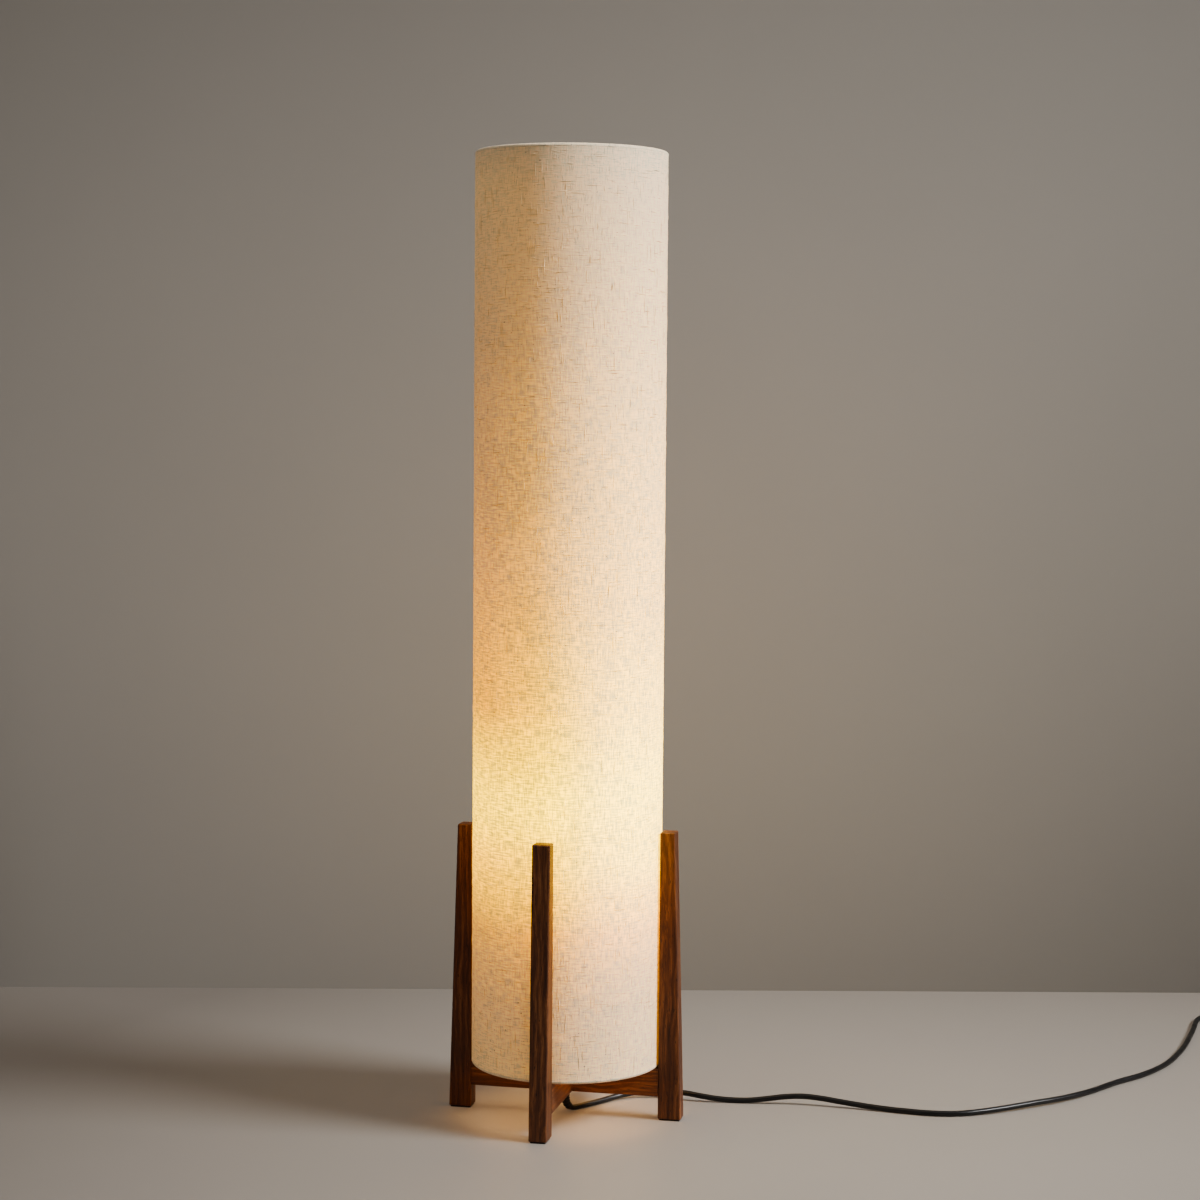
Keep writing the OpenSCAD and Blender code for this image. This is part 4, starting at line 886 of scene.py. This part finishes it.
def rocker_mark(name, side, outline, hole=None):
    """A mark on one wing of the rocker; outline is (along, across) points round its middle."""
    loops = [outline] + ([hole] if hole else [])
    points, faces = [], []
    for level in (MARK_SUNK, MARK_PROUD):
        for along, across in sum(loops, []):
            # The wing as moulded, then turned with the rocker to where it stands on
            reach = MARK_REACH + along
            x, z = side * reach, ROCKER_CROWN + reach * math.tan(WING_SLOPE) + level
            turned = (x * math.cos(WING_SLOPE) + z * math.sin(WING_SLOPE),
                      -x * math.sin(WING_SLOPE) + z * math.cos(WING_SLOPE))
            points.append(ROCKER_PIN + Vector((across, -turned[0], turned[1])) * MM)
    n, half = len(outline), len(points) // 2
    for i in range(n):
        j = (i + 1) % n
        faces.append((i, j, half + j, half + i))
        if hole:
            faces.append((n + j, n + i, half + n + i, half + n + j))
            faces.append((half + i, half + j, half + n + j, half + n + i))
            faces.append((j, i, n + i, n + j))
    if not hole:
        faces += [tuple(range(n))[::-1], tuple(range(half, half + n))]
    made = piece(name, points, faces, "rocker", MARK_WHITE, smooth=False)
    whole = bmesh.new()
    whole.from_mesh(made.data)
    bmesh.ops.recalc_face_normals(whole, faces=whole.faces)
    whole.to_mesh(made.data)
    whole.free()
    return made


def oval(long, wide):
    return [(long * math.sin(math.tau * k / 40), wide * math.cos(math.tau * k / 40))
            for k in range(40)]


rocker_mark("mark_on", 1, [(-2, -0.35), (2, -0.35), (2, 0.35), (-2, 0.35)])
rocker_mark("mark_off", -1, oval(2.0, 1.6), oval(1.4, 1.0))

# ---- The room: a plain pale floor, a plain wall behind, soft studio light ----

def stage_surface(name, colour, roughness, centre, reach, one_sided, painted_bounce=0.0):
    """Matt paint, rolled: a faint mottle, with painted light falloff that darkens it away from
    centre, and a faint painted bounce light that it gives off.
    """
    made, tree, out = new_material(name)
    place = add(tree, "ShaderNodeTexCoord").outputs["Object"]
    cloud = grains(tree, place, (350, 350, 350), 3)
    away = add(tree, "ShaderNodeMapping", {
        "Vector": place, "Location": CAMERA_TURN @ Vector(centre), "Rotation": (0, 0, VIEW_TURN),
        "Scale": reach}, vector_type="TEXTURE")
    away = add(tree, "ShaderNodeVectorMath", {0: away, 1: away}, operation="DOT_PRODUCT")
    base = srgb(colour)[:3]
    mottle = add(tree, "ShaderNodeValToRGB", {0: cloud}, [
        (0.3, [c * 0.985 for c in base]), (0.7, [c * 1.015 for c in base])])
    # Painted light falloff: darker away from the centre, as a lit studio's light falls off
    light = add(tree, "ShaderNodeMapRange", {
        "Value": away.outputs["Value"], "From Max": 1.3, "To Min": 1.0, "To Max": 0.35})
    paint = add(tree, "ShaderNodeVectorMath", {0: mottle, "Scale": light}, operation="SCALE")
    # Painted bounce light: an even warm glow given off by the surface
    shader = add(tree, "ShaderNodeBsdfPrincipled", {
        "Base Color": paint, "Roughness": roughness, "Emission Color": srgb("#9b8979"),
        "Emission Strength": painted_bounce})
    if one_sided:
        # The wall is seen from the front alone, so that the lamp shows from behind too
        side = add(tree, "ShaderNodeNewGeometry").outputs["Backfacing"]
        clear = add(tree, "ShaderNodeBsdfTransparent")
        shader = add(tree, "ShaderNodeMixShader", {0: side, 1: shader, 2: clear})
    add_end(tree, shader, out)
    return made


def stage_plane(name, corners, material):
    """A plain sheet of the room, turned with it; its corners are as the camera faces it."""
    mesh = bpy.data.meshes.new(name)
    mesh.from_pydata([CAMERA_TURN @ Vector(p) for p in corners], [], [(0, 1, 2, 3)])
    mesh.materials.append(material)
    made = bpy.data.objects.new(name, mesh)
    bpy.context.scene.collection.objects.link(made)
    return made


FLOOR_HALF, WALL_Y, WALL_HALF, WALL_H = 5, 0.585, 3.5, 3.2
FLOOR_PAINT = stage_surface("floor_paint", "#9f9b96", 0.55, (1.0, -0.9, 0), (1.614, 2.089, 1),
                            False, 0.15)
stage_plane("floor", [(x * FLOOR_HALF, y * FLOOR_HALF, 0)
                      for x, y in ((-1, -1), (1, -1), (1, 1), (-1, 1))], FLOOR_PAINT)
WALL_PAINT = stage_surface("wall_paint", "#928e88", 0.8, (0.054, WALL_Y, 0.683),
                           (1.989, 1, 1.134), True)
stage_plane("wall", [(x * WALL_HALF, WALL_Y, z * WALL_H)
                     for x, z in ((-1, 0), (1, 0), (1, 1), (-1, 1))], WALL_PAINT)


def soft_box(name, azimuth, elevation, distance, size, power, colour, aim=(0, 0, 0.5), spread=180):
    """An area light, placed by its direction from the lamp in degrees, in the lamp's frame."""
    lamp = bpy.data.lights.new(name, "AREA")
    lamp.shape = "RECTANGLE"
    lamp.size, lamp.size_y = size
    lamp.energy = power
    lamp.spread = math.radians(spread)
    lamp.color = srgb(colour)[:3]
    made = bpy.data.objects.new(name, lamp)
    a, e = math.radians(azimuth), math.radians(elevation)
    away = distance * Vector((math.cos(a) * math.cos(e), math.sin(a) * math.cos(e), math.sin(e)))
    made.matrix_world = (Matrix.Translation(Vector(aim) + away)
                         @ away.to_track_quat("Z", "Y").to_matrix().to_4x4())
    bpy.context.scene.collection.objects.link(made)
    return made


soft_box("key", -7, 33, 4.6, (1.8, 1.3), 27, "#ffffff", aim=(0, 0, 0.62), spread=45)
soft_box("overhead", 200, 84, 3.4, (3.2, 3.2), 28, "#fff2e4", aim=(0, 0, 0))
soft_box("fill", -150, 22, 3.6, (2.4, 2.4), 8, "#fffaf4")
world = bpy.data.worlds.new("studio")
world.use_nodes = True
background = world.node_tree.nodes["Background"].inputs
background["Color"].default_value = srgb("#bdbab6")
background["Strength"].default_value = 0.32
bpy.context.scene.world = world
bpy.context.scene.view_settings.view_transform = "AgX"
bpy.context.scene.view_settings.look = "AgX - Medium High Contrast"
